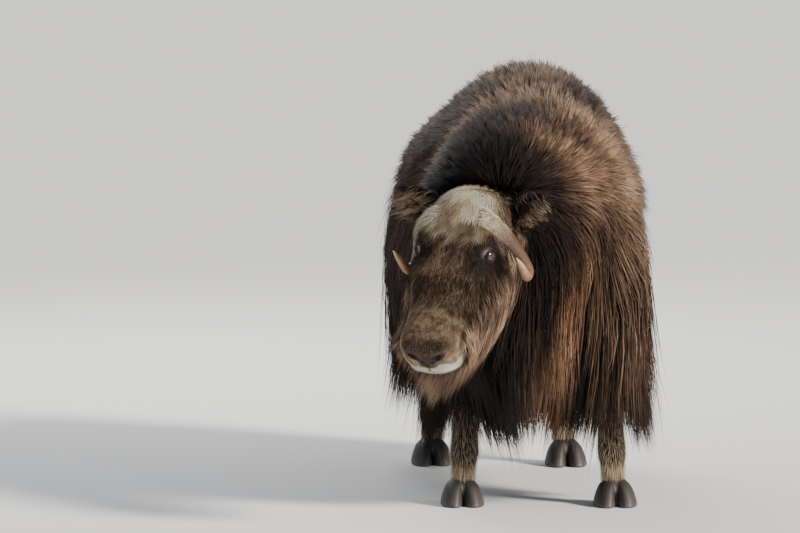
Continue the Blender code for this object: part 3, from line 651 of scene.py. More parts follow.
def furrow(places):
    """1 along the furrow that parts the hair of the cheek and neck from the mane over the shoulder."""
    x, y, z = places.T
    line = FURROW_OUT + 0.035 * np.sin((z - 0.30) / 0.52 * math.pi)
    return np.exp(-(((x - line) / FURROW_WIDTH) ** 2)) * step_up(-0.12, -0.22, y) * step_up(0.86, 0.76, z)


def body_lie(places, normals):
    """Back from the poll over the neck and the ridge, then more and more straight down the sides."""
    x, y, z = places.T
    mane = step_up(-0.10, -0.30, y)
    flat = step_up(-0.35 - 0.2 * mane, 0.95 - 0.25 * mane, normals[:, 2])
    spread = normals * np.array([1.0, 0.35, 0.0]) * (0.05 + 0.55 * step_up(0.58, 0.32, z))[:, None]
    drift = patches(places, 0.10)[:, None] * np.cross(normals, DOWN) * 0.18
    return unit(DOWN * (1 - flat[:, None]) + BACK * flat[:, None] + spread + drift)


def body_marks(places, normals):
    """How light, how red and how pale the coat is on the trunk and neck; painted shade darkens its right
    side and the furrow, painted sunlight lightens its left side and the crest's tips.
    """
    x, y, z = places.T
    top = step_up(-0.35, 0.30, normals[:, 2])
    ruff = (y + CREST_AHEAD) * 0.93 + x * 0.36
    crest = np.exp(-((ruff / CREST_WIDTH) ** 2)) * top
    poll = step_up(-0.20, -0.33, ruff) * step_up(0.60, 0.78, z)
    saddle = np.exp(-(((y - SADDLE_BACK) / SADDLE_WIDTH) ** 2)) * step_up(0.90, 1.04, z)
    light = 0.51 + 0.10 * patches(places, 0.10) + 0.09 * patches(places + 5.0, 0.035)
    # The crest is a real band of lighter brown hair, and its extra lightness also paints the sunlight on the
    # tips of its standing hairs.
    light += 0.44 * crest + 0.12 * saddle - 0.55 * poll
    # Darker towards the bottom; the furrow behind the cheek is darkened as painted shade in that crease.
    light -= 0.30 * step_up(0.82, 0.50, z) + 0.38 * furrow(places)
    # The last term darkens the animal's whole right side, which faces away from the key light: painted
    # shade.
    light -= 0.24 * step_up(-0.15, -0.30, y) * step_up(0.75, 0.50, z) + 0.26 * step_up(-0.02, -0.20, x)
    # The upper left side, which faces the key light, is made lighter: painted sunlight.
    light += 0.10 * step_up(0.10, 0.20, x) * step_up(0.60, 0.80, z) * (1 - crest)
    fringe = np.exp(-(((x - FRINGE_OUT) / FRINGE_WIDTH) ** 2))
    fringe *= step_up(-0.15, -0.25, y) * step_up(0.84, 0.70, z)
    ruddy = 0.24 + 0.22 * patches(places + 3.0, 0.14) + 0.6 * fringe
    ruddy -= 0.24 * step_up(0.95, 1.08, z) * (1 - crest)
    return np.stack([light + 0.42 * fringe, np.clip(ruddy, 0, 1), 0.12 * saddle], axis=1)


def body_spots(places):
    """Each root's place on the unwrap of the trunk: along the spine, and round it."""
    round_it = np.arctan2(places[:, 0], places[:, 2] - WIDEST) / (2 * math.pi) + 0.5
    return np.stack([0.005 + 0.60 * (places[:, 1] + 0.65) / 1.80, 0.005 + 0.98 * round_it], axis=1)


FACE_REACH, TAIL_REACH = 0.0015, 0.014
TAIL_FRONT, LEGS_TOP = 1.045, 0.40
skin_corners, skin_normals = corners_of(skin), normals_of(skin)
skin_local = in_head(skin_corners)
on_face = np.array([face_tree.find_nearest(corner)[3] < FACE_REACH for corner in skin_corners])
tail_tree = tree_of(forms["tail"])
on_tail = np.array([tail_tree.find_nearest(corner)[3] < TAIL_REACH for corner in skin_corners])
on_tail &= skin_corners[:, 1] > TAIL_FRONT
on_legs = (skin_corners[:, 2] < LEGS_TOP) & ~on_face
on_body = (~on_face & ~on_legs & ~on_tail).astype(float)
under = step_up(0.1, -0.6, skin_normals[:, 2]) * step_up(0.22, 0.12, np.abs(skin_corners[:, 0]))
between = under * step_up(-0.30, -0.15, skin_corners[:, 1]) * step_up(0.85, 0.75, skin_corners[:, 1])


class Wire:
    """A socket in a material's nodes: arithmetic on it adds the Math nodes."""

    def __init__(self, nodes, socket):
        self.nodes, self.socket = nodes, socket

    def __add__(self, other):
        return self.nodes.math("ADD", self, other)

    def __sub__(self, other):
        return self.nodes.math("SUBTRACT", self, other)

    def __rsub__(self, other):
        return self.nodes.math("SUBTRACT", other, self)

    def __mul__(self, other):
        return self.nodes.math("MULTIPLY", self, other)

    __radd__, __rmul__ = __add__, __mul__


class Finish:
    """A material and its nodes."""

    def __init__(self, name):
        self.material = bpy.data.materials.new(name)
        self.material.use_nodes = True
        self.tree = self.material.node_tree
        self.shader = self.tree.nodes["Principled BSDF"]

    def add(self, kind, settings=None, out=None, **sockets):
        """Adds a node, sets it, and fills its sockets with values or wires; gives one of its outputs."""
        node = self.tree.nodes.new(kind)
        for key, value in (settings or {}).items():
            if key == "stops":
                while len(node.color_ramp.elements) < len(value):
                    node.color_ramp.elements.new(1.0)
                for element, (place, colour) in zip(node.color_ramp.elements, value):
                    element.position, element.color = place, (*colour, 1)
            else:
                setattr(node, key, value)
        for key, value in sockets.items():
            self.fill(node.inputs[int(key[1:]) if key[1:].isdigit() else key.replace("_", " ")], value)
        return Wire(self, node.outputs[out] if out else next(end for end in node.outputs if end.enabled))

    def fill(self, socket, value):
        """Links a wire to a socket, or sets the socket's value."""
        if isinstance(value, Wire):
            self.tree.links.new(value.socket, socket)
        else:
            socket.default_value = value

    def math(self, operation, first, second):
        return self.add("ShaderNodeMath", {"operation": operation}, i0=first, i1=second)

    def ramp(self, factor, stops):
        """A colour that changes with the factor, through (place, colour) stops."""
        return self.add("ShaderNodeValToRGB", {"stops": stops}, Fac=factor)

    def read(self, name, out="Fac"):
        """What the mesh says at each place under an attribute's name."""
        return self.add("ShaderNodeAttribute", {"attribute_name": name}, out)

    def place(self):
        """Each place on the piece, in metres."""
        return self.add("ShaderNodeTexCoord", out="Object")

    def mix(self, factor, first, second):
        return self.add("ShaderNodeMix", {"data_type": "RGBA"}, i0=factor, i6=first, i7=second)

    def show(self, **sockets):
        """Fills the shader's own sockets."""
        for key, value in sockets.items():
            self.fill(self.shader.inputs[key.replace("_", " ")], value)
        return self


def coat_finish(name, bare_skin=False):
    """Hair that is darkest at its root, in the shades that its marks give; the skin between is darker."""
    hair = Finish(name)
    marks = hair.read("marks", "Vector")
    light, ruddy, pale = (hair.add("ShaderNodeSeparateXYZ", out=axis, Vector=marks) for axis in "XYZ")
    along = hair.read("along")
    shade = light * (0.20 + 1.15 * along)
    brown = hair.ramp(shade, [
        (0.0, (0.0035, 0.0022, 0.0016)),
        (0.22, (0.017, 0.0103, 0.0068)),
        (0.45, (0.066, 0.041, 0.027)),
        (0.75, (0.20, 0.132, 0.088)),
        (1.0, (0.42, 0.30, 0.205)),
    ])
    red = hair.ramp(shade, [
        (0.0, (0.005, 0.002, 0.001)),
        (0.25, (0.030, 0.011, 0.005)),
        (0.55, (0.13, 0.052, 0.022)),
        (1.0, (0.42, 0.21, 0.10)),
    ])
    cream = hair.ramp(along, [
        (0.0, (0.34, 0.25, 0.15)),
        (0.6, (0.74, 0.60, 0.40)),
        (1.0, (0.90, 0.81, 0.63)),
    ])
    white = hair.ramp(along, [(0.0, (0.66, 0.61, 0.53)), (1.0, (0.93, 0.91, 0.87))])
    cream = hair.mix(hair.ramp(pale, [(0.82, (0, 0, 0)), (0.97, (1, 1, 1))]), cream, white)
    colour = hair.mix(pale, hair.mix(ruddy * 0.75, brown, red), cream)
    hair.shader.inputs["Specular IOR Level"].default_value = 0.18
    if not bare_skin:
        return hair.show(Base_Color=colour, Roughness=0.66)
    bare = hair.read("bare")
    place = hair.place()
    pores = hair.add("ShaderNodeTexVoronoi", None, "Distance", Vector=place, Scale=420.0)
    grain = hair.add("ShaderNodeTexNoise", Vector=place, Scale=90.0, Detail=5.0)
    hide = hair.ramp(grain, [(0.3, (0.014, 0.010, 0.009)), (0.7, (0.050, 0.036, 0.031))])
    height = pores * hair.math("MAXIMUM", bare - 0.6, 0.0) * 2.5 + grain * 0.6
    relief = hair.add("ShaderNodeBump", Strength=0.5, Distance=0.0012, Height=height)
    return hair.show(Base_Color=hair.mix(bare, colour, hide), Roughness=0.75 - 0.22 * bare, Normal=relief)


def dressed(thing, finish, slot, *nodes):
    """Gives a finished piece its material, moves it to the solids' place and ties it to the body."""
    thing.data.materials.clear()
    thing.data.materials.append(finish.material)
    thing.data.transform(Matrix.Translation(STAND))
    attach(thing, "root")
    if nodes:
        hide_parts(*nodes)


coat = coat_finish("coat")


def grown(name, where, count, steps, lengths_of, lie_of, marks_of, spots_of, rise, droop, start, width,
          every=9, pull=0.5, parts=1, tint=0.07, curl=0.0, slot="coat"):
    """One region of the coat, in pieces of fewer than 200,000 triangles, parted along the body."""
    roots, outward = roots_on(skin, count, where)
    lengths = lengths_of(roots, outward) * dice.uniform(0.78, 1.15, count)
    rises = np.minimum(rise * dice.uniform(0.5, 1.05, count), lengths * 0.75) * (1 - 0.75 * furrow(roots))
    lines = combed(roots, outward, lie_of, lengths, rises, droop(roots), steps, start)
    wander = dice.normal(0, 1, (count, 1, 3)) * np.linspace(0, 1, steps + 1)[None, :, None] ** 1.3
    lines = lines + wander * (lengths * curl)[:, None, None]
    leaders = np.arange(0, count, every)
    finder = KDTree(len(leaders))
    for k, leader in enumerate(leaders):
        finder.insert(roots[leader], k)
    finder.balance()
    led_by = np.array([leaders[finder.find(root)[1]] for root in roots])
    share = np.linspace(0, 1, steps + 1)[None, :, None] ** 1.4 * pull
    lines = lines * (1 - share) + (lines[led_by] + (roots - roots[led_by])[:, None] * 0.35) * share
    marks = marks_of(roots, outward)
    marks[:, 0] += dice.normal(0, tint, count) * 0.6 + dice.normal(0, tint, count)[led_by]
    widths = width * dice.uniform(0.8, 1.25, count) * np.clip(lengths / lengths.mean(), 0.6, 1.3)
    spots = spots_of(roots)
    order = np.argsort(roots[:, 1] + (roots[:, 0] > 0) * 10)
    for part, chosen in enumerate(np.array_split(order, parts)):
        label = f"{name}_{part + 1}" if parts > 1 else name
        thing = tufts(label, lines[chosen], outward[chosen], widths[chosen], marks[chosen], spots[chosen])
        dressed(thing, coat, slot)


def back_lengths(roots, outward):
    """The woolly hair of the back, longest on the hump."""
    hump = step_up(-0.30, -0.10, roots[:, 1]) * step_up(0.45, 0.25, roots[:, 1])
    return 0.070 + 0.014 * hump + 0.02 * step_up(0.98, 0.86, roots[:, 2])


def flank_lengths(roots, outward):
    """The long hair of the sides, which grows longer downwards and ends at one hem."""
    hems = HEM_HEIGHT - 0.01 + 0.02 * patches(roots, 0.05)
    falls = 0.085 + 0.38 * step_up(0.90, 0.64, roots[:, 2])
    return np.minimum(falls, np.maximum((roots[:, 2] - hems) * 1.13, 0.04))


def light_droop(roots):
    return 0.04 + 0.10 * step_up(0.95, 0.80, roots[:, 2])


def heavy_droop(roots):
    return 0.16 + 0.30 * step_up(0.85, 0.55, roots[:, 2])


upper = on_body * step_up(0.80, 0.90, skin_corners[:, 2])
middle = on_body * step_up(0.95, 0.85, skin_corners[:, 2]) * step_up(0.60, 0.72, skin_corners[:, 2])
lower = on_body * step_up(0.74, 0.66, skin_corners[:, 2]) * (1 - 0.85 * between)
upper *= 1 + 0.9 * step_up(-0.05, -0.20, skin_corners[:, 1])
grown("coat_back", upper, 52000, 2, back_lengths, body_lie, body_marks, body_spots, rise=0.078,
      droop=light_droop, start=1.5, width=0.0026, every=8, pull=0.60, parts=4, curl=0.08, tint=0.11)
grown("coat_flank", middle, 16000, 3, flank_lengths, body_lie, body_marks, body_spots, rise=0.062,
      droop=heavy_droop, start=0.5, width=0.0032, every=7, pull=0.55, parts=2, curl=0.055, tint=0.13)
grown("coat_skirt", lower, 20000, 3, flank_lengths, body_lie, body_marks, body_spots, rise=0.060,
      droop=heavy_droop, start=0.35, width=0.0036, every=8, pull=0.5, parts=2, curl=0.034, tint=0.13)

# The hair of the head: short and fine on the face, longer on the forehead, long on the cheeks and jaw,
# curled in the ears. It grows from the hide as the coat does, down the face and away from the eyes,
# and leaves the lids and the small pad between the nostrils bare.
EYES = np.array([mirrored(EYE_PLACE, side) for side in (1, -1)])


def eye_distance(local):
    """How far each place of the head is from the nearer eye."""
    return np.sqrt(((local[:, None] - EYES[None]) ** 2).sum(axis=2)).min(axis=1)


def on_ear(local):
    """1 on the ears, from a little way out of their roots."""
    way = np.array(EAR_WAY)
    reach = (np.abs(local[:, 0]) - EAR_ROOT.x) * way[0] + (local[:, 1] - EAR_ROOT.y) * way[1]
    reach = reach + (local[:, 2] - EAR_ROOT.z) * way[2]
    return step_up(0.022, 0.034, reach) * step_up(0.05, 0.03, -local[:, 1])


def face_lie(places, normals):
    """Down the face towards the nose on the front, and straight down on the cheeks and jaw."""
    local = in_head(places)
    drop = (step_up(0.0, -0.09, local[:, 2]) * step_up(0.42, 0.30, -local[:, 1]))[:, None]
    ears = on_ear(local)[:, None]
    side = np.sign(local[:, :1])
    ear_way = side * out_of_head(EAR_WAY.x, 0, 0)[None] + out_of_head(0, EAR_WAY.y, EAR_WAY.z)[None]
    lie = out_of_head(0.0, -1.0, -0.12)[None] * (1 - drop) + (DOWN + np.array([-0.12, 0.0, 0.0])) * drop
    sway = patches(places, 0.04)[:, None] * np.cross(normals, lie) * 0.25
    return unit((lie + sway) * (1 - ears) + ear_way * ears)


def nose_pad(local):
    """1 on the bare skin between the nostrils, which narrows to a groove in the upper lip."""
    x, t, z = np.abs(local[:, 0]), -local[:, 1], local[:, 2]
    edge = 0.003 * patches(local, 0.02)
    width = 0.003 + 0.009 * step_up(-0.100, -0.060, z)
    between = step_up(0.466, 0.476, t + edge) * step_up(width + 0.004, width - 0.003, x + edge)
    between = between * step_up(-0.034, -0.046, z)
    line = np.array([point for point, _ in NOSTRIL])
    sided = np.stack([x, local[:, 1], z], axis=1)
    starts, spans = line[:-1], line[1:] - line[:-1]
    share = ((sided[:, None] - starts[None]) * spans[None]).sum(axis=2) / (spans**2).sum(axis=1)[None]
    nearest = starts[None] + spans[None] * np.clip(share, 0, 1)[:, :, None]
    reach = np.sqrt(((sided[:, None] - nearest) ** 2).sum(axis=2)).min(axis=1)
    return np.maximum(between * step_up(-0.112, -0.100, z), step_up(0.0135, 0.0105, reach))


def face_marks(places, normals):
    """How light, how red and how pale the hair of the head is, with painted shade round the eyes."""
    local = in_head(places)
    x, t, z = np.abs(local[:, 0]), -local[:, 1], local[:, 2]
    ears = on_ear(local)
    ragged = 0.007 * patches(local, 0.010) + 0.006 * patches(local + 2.0, 0.022)
    forehead = step_up(0.16, 0.05, t + 4 * ragged) * step_up(-0.03, 0.01, z) * step_up(0.100, 0.065, x)
    lip = step_up(0.395, 0.445, t) * step_up(-0.070, -0.088, z + ragged)
    lip = lip * step_up(-0.142, -0.126, z + ragged)
    wings = step_up(0.395, 0.425, t) * step_up(0.018, 0.028, x) * step_up(-0.030, -0.060, z + ragged)
    pad = nose_pad(local)
    chin = step_up(0.35, 0.39, t) * step_up(-0.125, -0.135, z)
    bridge = step_up(0.33, 0.38, t) * step_up(0.47, 0.44, t) * step_up(-0.075, -0.05, z)
    corner = np.exp(-(((x - 0.062) / 0.03) ** 2 + ((t - 0.375) / 0.035) ** 2 + ((z + 0.100) / 0.03) ** 2))
    # Darker round each eye: painted shade in the eye's socket.
    socket = np.exp(-((eye_distance(local) / 0.042) ** 2))
    light = 0.78 + 0.20 * patches(places, 0.045) + 0.16 * patches(places, 0.016)
    light += 0.10 * bridge + 0.14 * corner - 0.86 * socket - 0.10 * step_up(-0.03, -0.14, z) - 0.74 * ears
    light -= 0.24 * step_up(0.02, -0.02, t) * step_up(0.04, 0.08, x)
    ruddy = 0.04 + 0.15 * patches(places, 0.04) + 0.40 * bridge + 0.9 * corner
    streaks = 0.5 + 0.5 * patches(local, 0.006)
    wings, bridge = wings * (0.35 + 0.5 * streaks), bridge * 0.40 * streaks
    pale = np.maximum.reduce([forehead * 0.90, lip, wings, chin * 0.75, bridge])
    pale *= (1 - pad) * (1 - ears)
    return np.stack([light - 0.10 * pad, np.clip(ruddy, 0, 1), pale], axis=1)


def head_spots(places):
    """Each root's place on the unwrap of the head: along it, and round it; the ears lie beside it."""
    local = in_head(places)
    round_it = np.arctan2(local[:, 0], local[:, 2] + 0.08) / (2 * math.pi) + 0.5
    return np.stack([0.62 + 0.36 * (-local[:, 1] + 0.10) / 0.62, 0.005 + 0.44 * round_it], axis=1)


def face_lengths(roots, outward):
    """Short hair, shortest round the eyes and on the muzzle."""
    local = in_head(roots)
    x, t, z = np.abs(local[:, 0]), -local[:, 1], local[:, 2]
    lengths = 0.024 + 0.014 * step_up(0.12, 0.02, t) - 0.013 * step_up(0.30, 0.40, t)
    lengths -= 0.006 * step_up(0.44, 0.46, t)
    lengths += 0.010 * step_up(-0.02, -0.08, z) * step_up(0.38, 0.30, t) + 0.008 * step_up(-0.12, -0.14, z)
    lengths *= 0.35 + 0.65 * step_up(0.020, 0.060, eye_distance(local))
    return lengths * (1 + 0.6 * on_ear(local))


def cheek_lengths(roots, outward):
    """The beard of the cheeks and jaw, longest far back under the jaw."""
    local = in_head(roots)
    t, z = -local[:, 1], local[:, 2]
    return 0.050 + 0.18 * step_up(-0.05, -0.13, z) * step_up(0.42, 0.28, t)


def little_droop(roots):
    return np.full(len(roots), 0.06)


def cheek_droop(roots):
    return np.full(len(roots), 0.35)


x, t, z = np.abs(skin_local[:, 0]), -skin_local[:, 1], skin_local[:, 2]
bare = nose_pad(skin_local)
lashes = step_up(0.0195, 0.024, eye_distance(skin_local))
finer = 1 + 1.2 * step_up(0.30, 0.42, t)
face = on_face * (1 - bare) * lashes * finer
cheeks = on_face * step_up(-0.035, -0.07, z) * step_up(0.425, 0.395, t) * step_up(-0.02, 0.02, t)
grown("coat_face", face, 44000, 1, face_lengths, face_lie, face_marks, head_spots, rise=0.010,
      droop=little_droop, start=0.45, width=0.0017, every=6, pull=0.4, parts=2, tint=0.13)
grown("coat_cheeks", cheeks, 9500, 3, cheek_lengths, face_lie, face_marks, head_spots, rise=0.040,
      droop=cheek_droop, start=0.70, width=0.0026, every=8, pull=0.5, tint=0.13, curl=0.05)


def curl_lie(places, normals):
    """Out of the ear's cup, and over its edge."""
    side = np.sign(in_head(places)[:, :1])
    return unit(side * out_of_head(0.7, 0.0, 0.0)[None] + out_of_head(0.0, -0.45, 0.5)[None] + DOWN * 0.25)


def curl_lengths(roots, outward):
    return np.full(len(roots), 0.062)


def curl_marks(places, normals):
    return np.array([0.62, 0.0, 0.05]) * np.ones((len(places), 3))


def curl_droop(roots):
    return np.full(len(roots), 0.5)


cup = on_face * on_ear(skin_local) * step_up(0.1, 0.5, skin_normals @ out_of_head(0.15, -0.35, 0.90))
grown("coat_ears", cup, 420, 5, curl_lengths, curl_lie, curl_marks, head_spots, rise=0.030,
      droop=curl_droop, start=0.9, width=0.0018, every=5, pull=0.45, curl=0.10)


# The hair of the legs: short and dense, pale up to the knee and dark above it where the skirt hides it.
# It grows from the hide of the legs, lies straight down, and spreads over the top of each hoof.
def leg_lie(places, normals):
    return unit(DOWN + normals * (1.1 * step_up(0.12, 0.08, places[:, 2]))[:, None])


def leg_lengths(roots, outward):
    low = roots[:, 2]
    lengths = 0.020 + 0.022 * step_up(0.22, 0.38, low) + 0.026 * step_up(0.13, 0.09, low)
    return np.minimum(lengths, np.maximum((low - 0.022) * 1.3, 0.014))


def leg_marks(roots, outward):
    """Straw below the knee and dark brown above it."""
    dark = step_up(0.24, 0.33, roots[:, 2] + 0.03 * patches(roots, 0.05))
    light = 0.42 + 0.1 * patches(roots, 0.05)
    return np.stack([light, np.full(len(roots), 0.3), 0.80 * (1 - dark)], axis=1)


LEG_COLUMNS = ("fore_right", "fore_left", "hind_right", "hind_left")


def leg_spots(places):
    """Each root's place on the unwrap of the legs, which stand side by side: round the leg, and up it."""
    columns = (places[:, 0] > 0) * 1 + (places[:, 1] > 0.4) * 2
    middles = np.array([STANCE[which][:2] for which in LEG_COLUMNS])
    offset = places[:, :2] - middles[columns]
    turn = np.arctan2(offset[:, 0], offset[:, 1]) / (2 * math.pi) + 0.5
    return np.stack([0.62 + 0.094 * columns + 0.088 * turn, 0.47 + 0.5 * places[:, 2] / 0.42], axis=1)


shins = on_legs * step_up(0.050, 0.060, skin_corners[:, 2])
shins = shins * (1 + 0.8 * step_up(0.12, 0.09, skin_corners[:, 2]))
grown("coat_legs", shins, 16500, 1, leg_lengths, leg_lie, leg_marks, leg_spots, rise=0.007,
      droop=little_droop, start=0.4, width=0.0017, every=7, pull=0.35, tint=0.10, slot="stocking")


# The tail is a short flat lobe of hide under a brush of hair. It hangs close against the rump, where the
# long hair of the back covers most of it.
def tail_lengths(roots, outward):
    return np.full(len(roots), 0.055)


grown("coat_tail", on_tail.astype(float), 1500, 2, tail_lengths, leg_lie, body_marks, body_spots, rise=0.020,
      droop=cheek_droop, start=0.5, width=0.0034, every=6, pull=0.5)

# The horns: flat at the root, where pale hair lies over them, then round, hooked down and up to the tip.
# Each is a sheath of keratin over a bony core, ringed by its yearly growth and paler towards the tip.
HORN = [
    (0.00, (0.022, -0.058, 0.004, 0.022, 0.009)),
    (0.16, (0.066, -0.084, 0.028, 0.023, 0.013)),
    (0.32, (0.104, -0.097, -0.002, 0.021, 0.014)),
    (0.48, (0.129, -0.102, -0.056, 0.019, 0.014)),
    (0.62, (0.146, -0.108, -0.108, 0.018, 0.014)),
    (0.74, (0.158, -0.126, -0.138, 0.017, 0.014)),
    (0.84, (0.165, -0.152, -0.119, 0.014, 0.012)),
    (0.93, (0.169, -0.162, -0.068, 0.009, 0.009)),
    (1.00, (0.171, -0.172, -0.019, 0.002, 0.002)),
]
RING_HEIGHT = 0.0004
HORN_HAIRS, HORN_HAIR_WIDTH = 1500, 0.0019
HORN_STEPS = 60


def horn(name, side):
    """One horn with its rings, in its place on the head."""
    keys = [(place, (x * side, y, z, wide, thick)) for place, (x, y, z, wide, thick) in HORN]
    made = drawn_out("horn_sheath_" + name, 32, 120, limb(keys, Vector((0, 1, 0.15))))
    with_modifier(made, "SMOOTH", factor=0.5, iterations=5)
    corners, normals = corners_of(made), normals_of(made)
    along = np.array([reach.value for reach in made.data.attributes["along"].data])
    rings = np.sin(along * 150 + 3 * np.sin(along * 23)) * (1 - along) * RING_HEIGHT
    put_corners(made, corners + normals * rings[:, None])
    made.data.transform(HEAD_PLACE)
    made.data.shade_smooth()
    return made


keratin = Finish("horn")
along = keratin.read("along")
fibre = keratin.add("ShaderNodeTexNoise", Vector=keratin.place(), Scale=95.0, Detail=8.0, Roughness=0.62)
keratin_colour = keratin.ramp(along + (fibre - 0.5) * 0.22, [
    (0.0, (0.10, 0.075, 0.05)),
    (0.45, (0.070, 0.040, 0.022)),
    (0.60, (0.085, 0.042, 0.020)),
    (0.72, (0.17, 0.075, 0.032)),
    (0.84, (0.36, 0.21, 0.11)),
    (1.0, (0.56, 0.43, 0.30)),
])
keratin_bump = keratin.add("ShaderNodeBump", Strength=0.6, Distance=0.0015, Height=fibre)
keratin.show(Base_Color=keratin_colour, Roughness=0.30 + 0.35 * fibre, Normal=keratin_bump)
horn_line = np.array([profile(HORN, k / HORN_STEPS)[:3] for k in range(HORN_STEPS + 1)])
horns = [(horn(name, side), name, side) for name, side in (("left", 1), ("right", -1))]
for thing, name, side in horns:
    along = np.array([reach.value for reach in thing.data.attributes["along"].data])
    at = 0.5 - 0.5 * np.cos(math.pi * along)
    roots, outward = roots_on(thing, HORN_HAIRS, step_up(0.50, 0.30, at) + 0.02 * (at < 0.5))
    local = in_head(roots) * np.array([side, 1, 1])
    nearest = ((local[:, None] - horn_line[None]) ** 2).sum(axis=2).argmin(axis=1)
    nearest = np.clip(nearest, 1, HORN_STEPS - 1)
    ways = (horn_line[nearest + 1] - horn_line[nearest - 1]) * np.array([side, 1, 1])
    lie = unit(ways @ np.array(HEAD_PLACE)[:3, :3].T)
    lengths = dice.uniform(0.014, 0.026, len(roots))[:, None]
    tips = roots + unit(lie + outward * 0.22 + dice.normal(0, 0.12, roots.shape)) * lengths
    lines = np.stack([roots - outward * 0.001, tips], axis=1)
    light, ruddy = dice.normal(0.42, 0.08, len(roots)), np.full(len(roots), 0.2)
    marks = np.stack([light, ruddy, 0.9 - 0.7 * step_up(10, 30, nearest)], axis=1)
    widths = np.full(len(roots), HORN_HAIR_WIDTH)
    hair = tufts("coat_horn_" + name, lines, outward, widths, marks, head_spots(roots))
    dressed(hair, coat, "coat")
    dressed(thing, keratin, "horn", "horn_" + name)

# The eyes: dark glossy balls with a brown iris, a wide pupil and a reddish white towards the corners.
# Each is turned outwards in its socket and held by the lids, which leave an almond of it in sight.
wet = Finish("eye")
eye_colour = wet.ramp(wet.read("iris"), [
    (0.0, (0.002, 0.002, 0.002)),
    (0.26, (0.003, 0.002, 0.002)),
    (0.34, (0.070, 0.030, 0.013)),
    (0.62, (0.024, 0.010, 0.006)),
    (0.74, (0.050, 0.024, 0.020)),
    (0.84, (0.20, 0.10, 0.088)),
    (1.0, (0.26, 0.15, 0.13)),
])
wet.show(Base_Color=eye_colour, Roughness=0.06, Coat_Weight=1.0)
CORNEA_EDGE, CORNEA_BULGE = 0.6, 1.06
for name, side in (("left", 1), ("right", -1)):
    outward, forward, above = gaze(side)
    bpy.ops.mesh.primitive_uv_sphere_add(segments=64, ring_count=48, radius=EYE_RADIUS * 0.985)
    ball = bpy.context.object
    ball.name = ball.data.name = "eyeball_" + name
    iris = ball.data.attributes.new("iris", "FLOAT", "POINT")
    for vertex, ringed in zip(ball.data.vertices, iris.data):
        x, y = vertex.co.x / EYE_RADIUS, vertex.co.y / EYE_RADIUS
        ringed.value = math.sqrt(x * x + y * y) if vertex.co.z > 0 else 1.0
        vertex.co.z *= CORNEA_BULGE if vertex.co.z > 0 and ringed.value < CORNEA_EDGE else 1.0
    turn = Matrix((forward, above, outward)).transposed().to_4x4()
    ball.data.transform(HEAD_PLACE @ Matrix.Translation(mirrored(EYE_PLACE, side)) @ turn)
    ball.data.shade_smooth()
    dressed(ball, wet, "eye", "eye_" + name)

# The hooves: two broad toes of dark horn on each foot, flat below and cleft in front, with a heel pad
# behind them. A remesh makes one closed piece of the three, which wraps the end of the leg.
HOOF_TOP = 0.072
TOE_HALF_WIDTH, TOE_LENGTH, TOE_GAP = 0.0275, 0.066, 0.0012
HOOF = [(0.0, 1.0), (0.10, 1.02), (0.40, 0.93), (0.70, 0.77), (0.88, 0.58), (1.0, 0.36)]
HEEL_PLACE, HEEL_SIZE = (0, -0.010, 0.042), (0.040, 0.048, 0.036, 1)
nail = Finish("hoof")
height = nail.add("ShaderNodeSeparateXYZ", out="Z", Vector=nail.place())
grain = nail.add("ShaderNodeTexNoise", Vector=nail.place(), Scale=60.0, Detail=5.0)
rings = nail.math("SINE", height * 900 + grain * 6, 0.0)
nail_colour = nail.ramp(height * 10 + grain * 0.5, [
    (0.0, (0.11, 0.095, 0.08)),
    (0.45, (0.040, 0.034, 0.030)),
    (1.0, (0.022, 0.019, 0.018)),
])
nail_bump = nail.add("ShaderNodeBump", Strength=0.3, Distance=0.0008, Height=rings * 0.4 + grain)
nail.show(Base_Color=nail_colour, Roughness=0.40 + 0.3 * grain, Normal=nail_bump)


def toe(which, side):
    """One toe: straight towards the cleft, round outside and in front, and narrower towards the hair."""
    x, y, _ = STANCE[which]

    def surface(along, turn):
        flat = min(1, along / 0.12, (1 - along) / 0.10)
        height = max(0, min(1, (along - 0.12) / 0.78))
        front = max(0, math.sin(turn))
        wide = TOE_HALF_WIDTH * profile(HOOF, height)
        across = wide * flat * power(math.cos(turn), 0.72) * (1 - 0.28 * front**2)
        ahead = TOE_LENGTH * flat * profile(HOOF, height) * power(math.sin(turn), 0.80)
        middle = side * (wide + TOE_GAP - 0.003 * front**2)
        lean = 0.012 * height + 0.010 * height * front
        return Vector((x + middle + across, y - 0.034 + lean - ahead, height * HOOF_TOP))

    return drawn_out("hoof", 32, 40, surface)


for which, (x, y, _) in STANCE.items():
    pair = [toe(which, 1), toe(which, -1)]
    bpy.ops.mesh.primitive_uv_sphere_add(segments=24, ring_count=16, radius=1)
    heel = bpy.context.object
    heel_place = Matrix.Translation((x + HEEL_PLACE[0], y + HEEL_PLACE[1], HEEL_PLACE[2]))
    heel.data.transform(heel_place @ Matrix.Diagonal(HEEL_SIZE))
    hoof = joined(pair + [heel], "toes_" + which)
    with_modifier(hoof, "REMESH", mode="VOXEL", voxel_size=0.0026)
    with_modifier(hoof, "SMOOTH", factor=0.5, iterations=2)
    corners = corners_of(hoof)
    corners[:, 2] = np.maximum(corners[:, 2], 0)
    put_corners(hoof, corners)
    hoof.data.shade_smooth()
    dressed(hoof, nail, "hoof", "hoof_" + which)

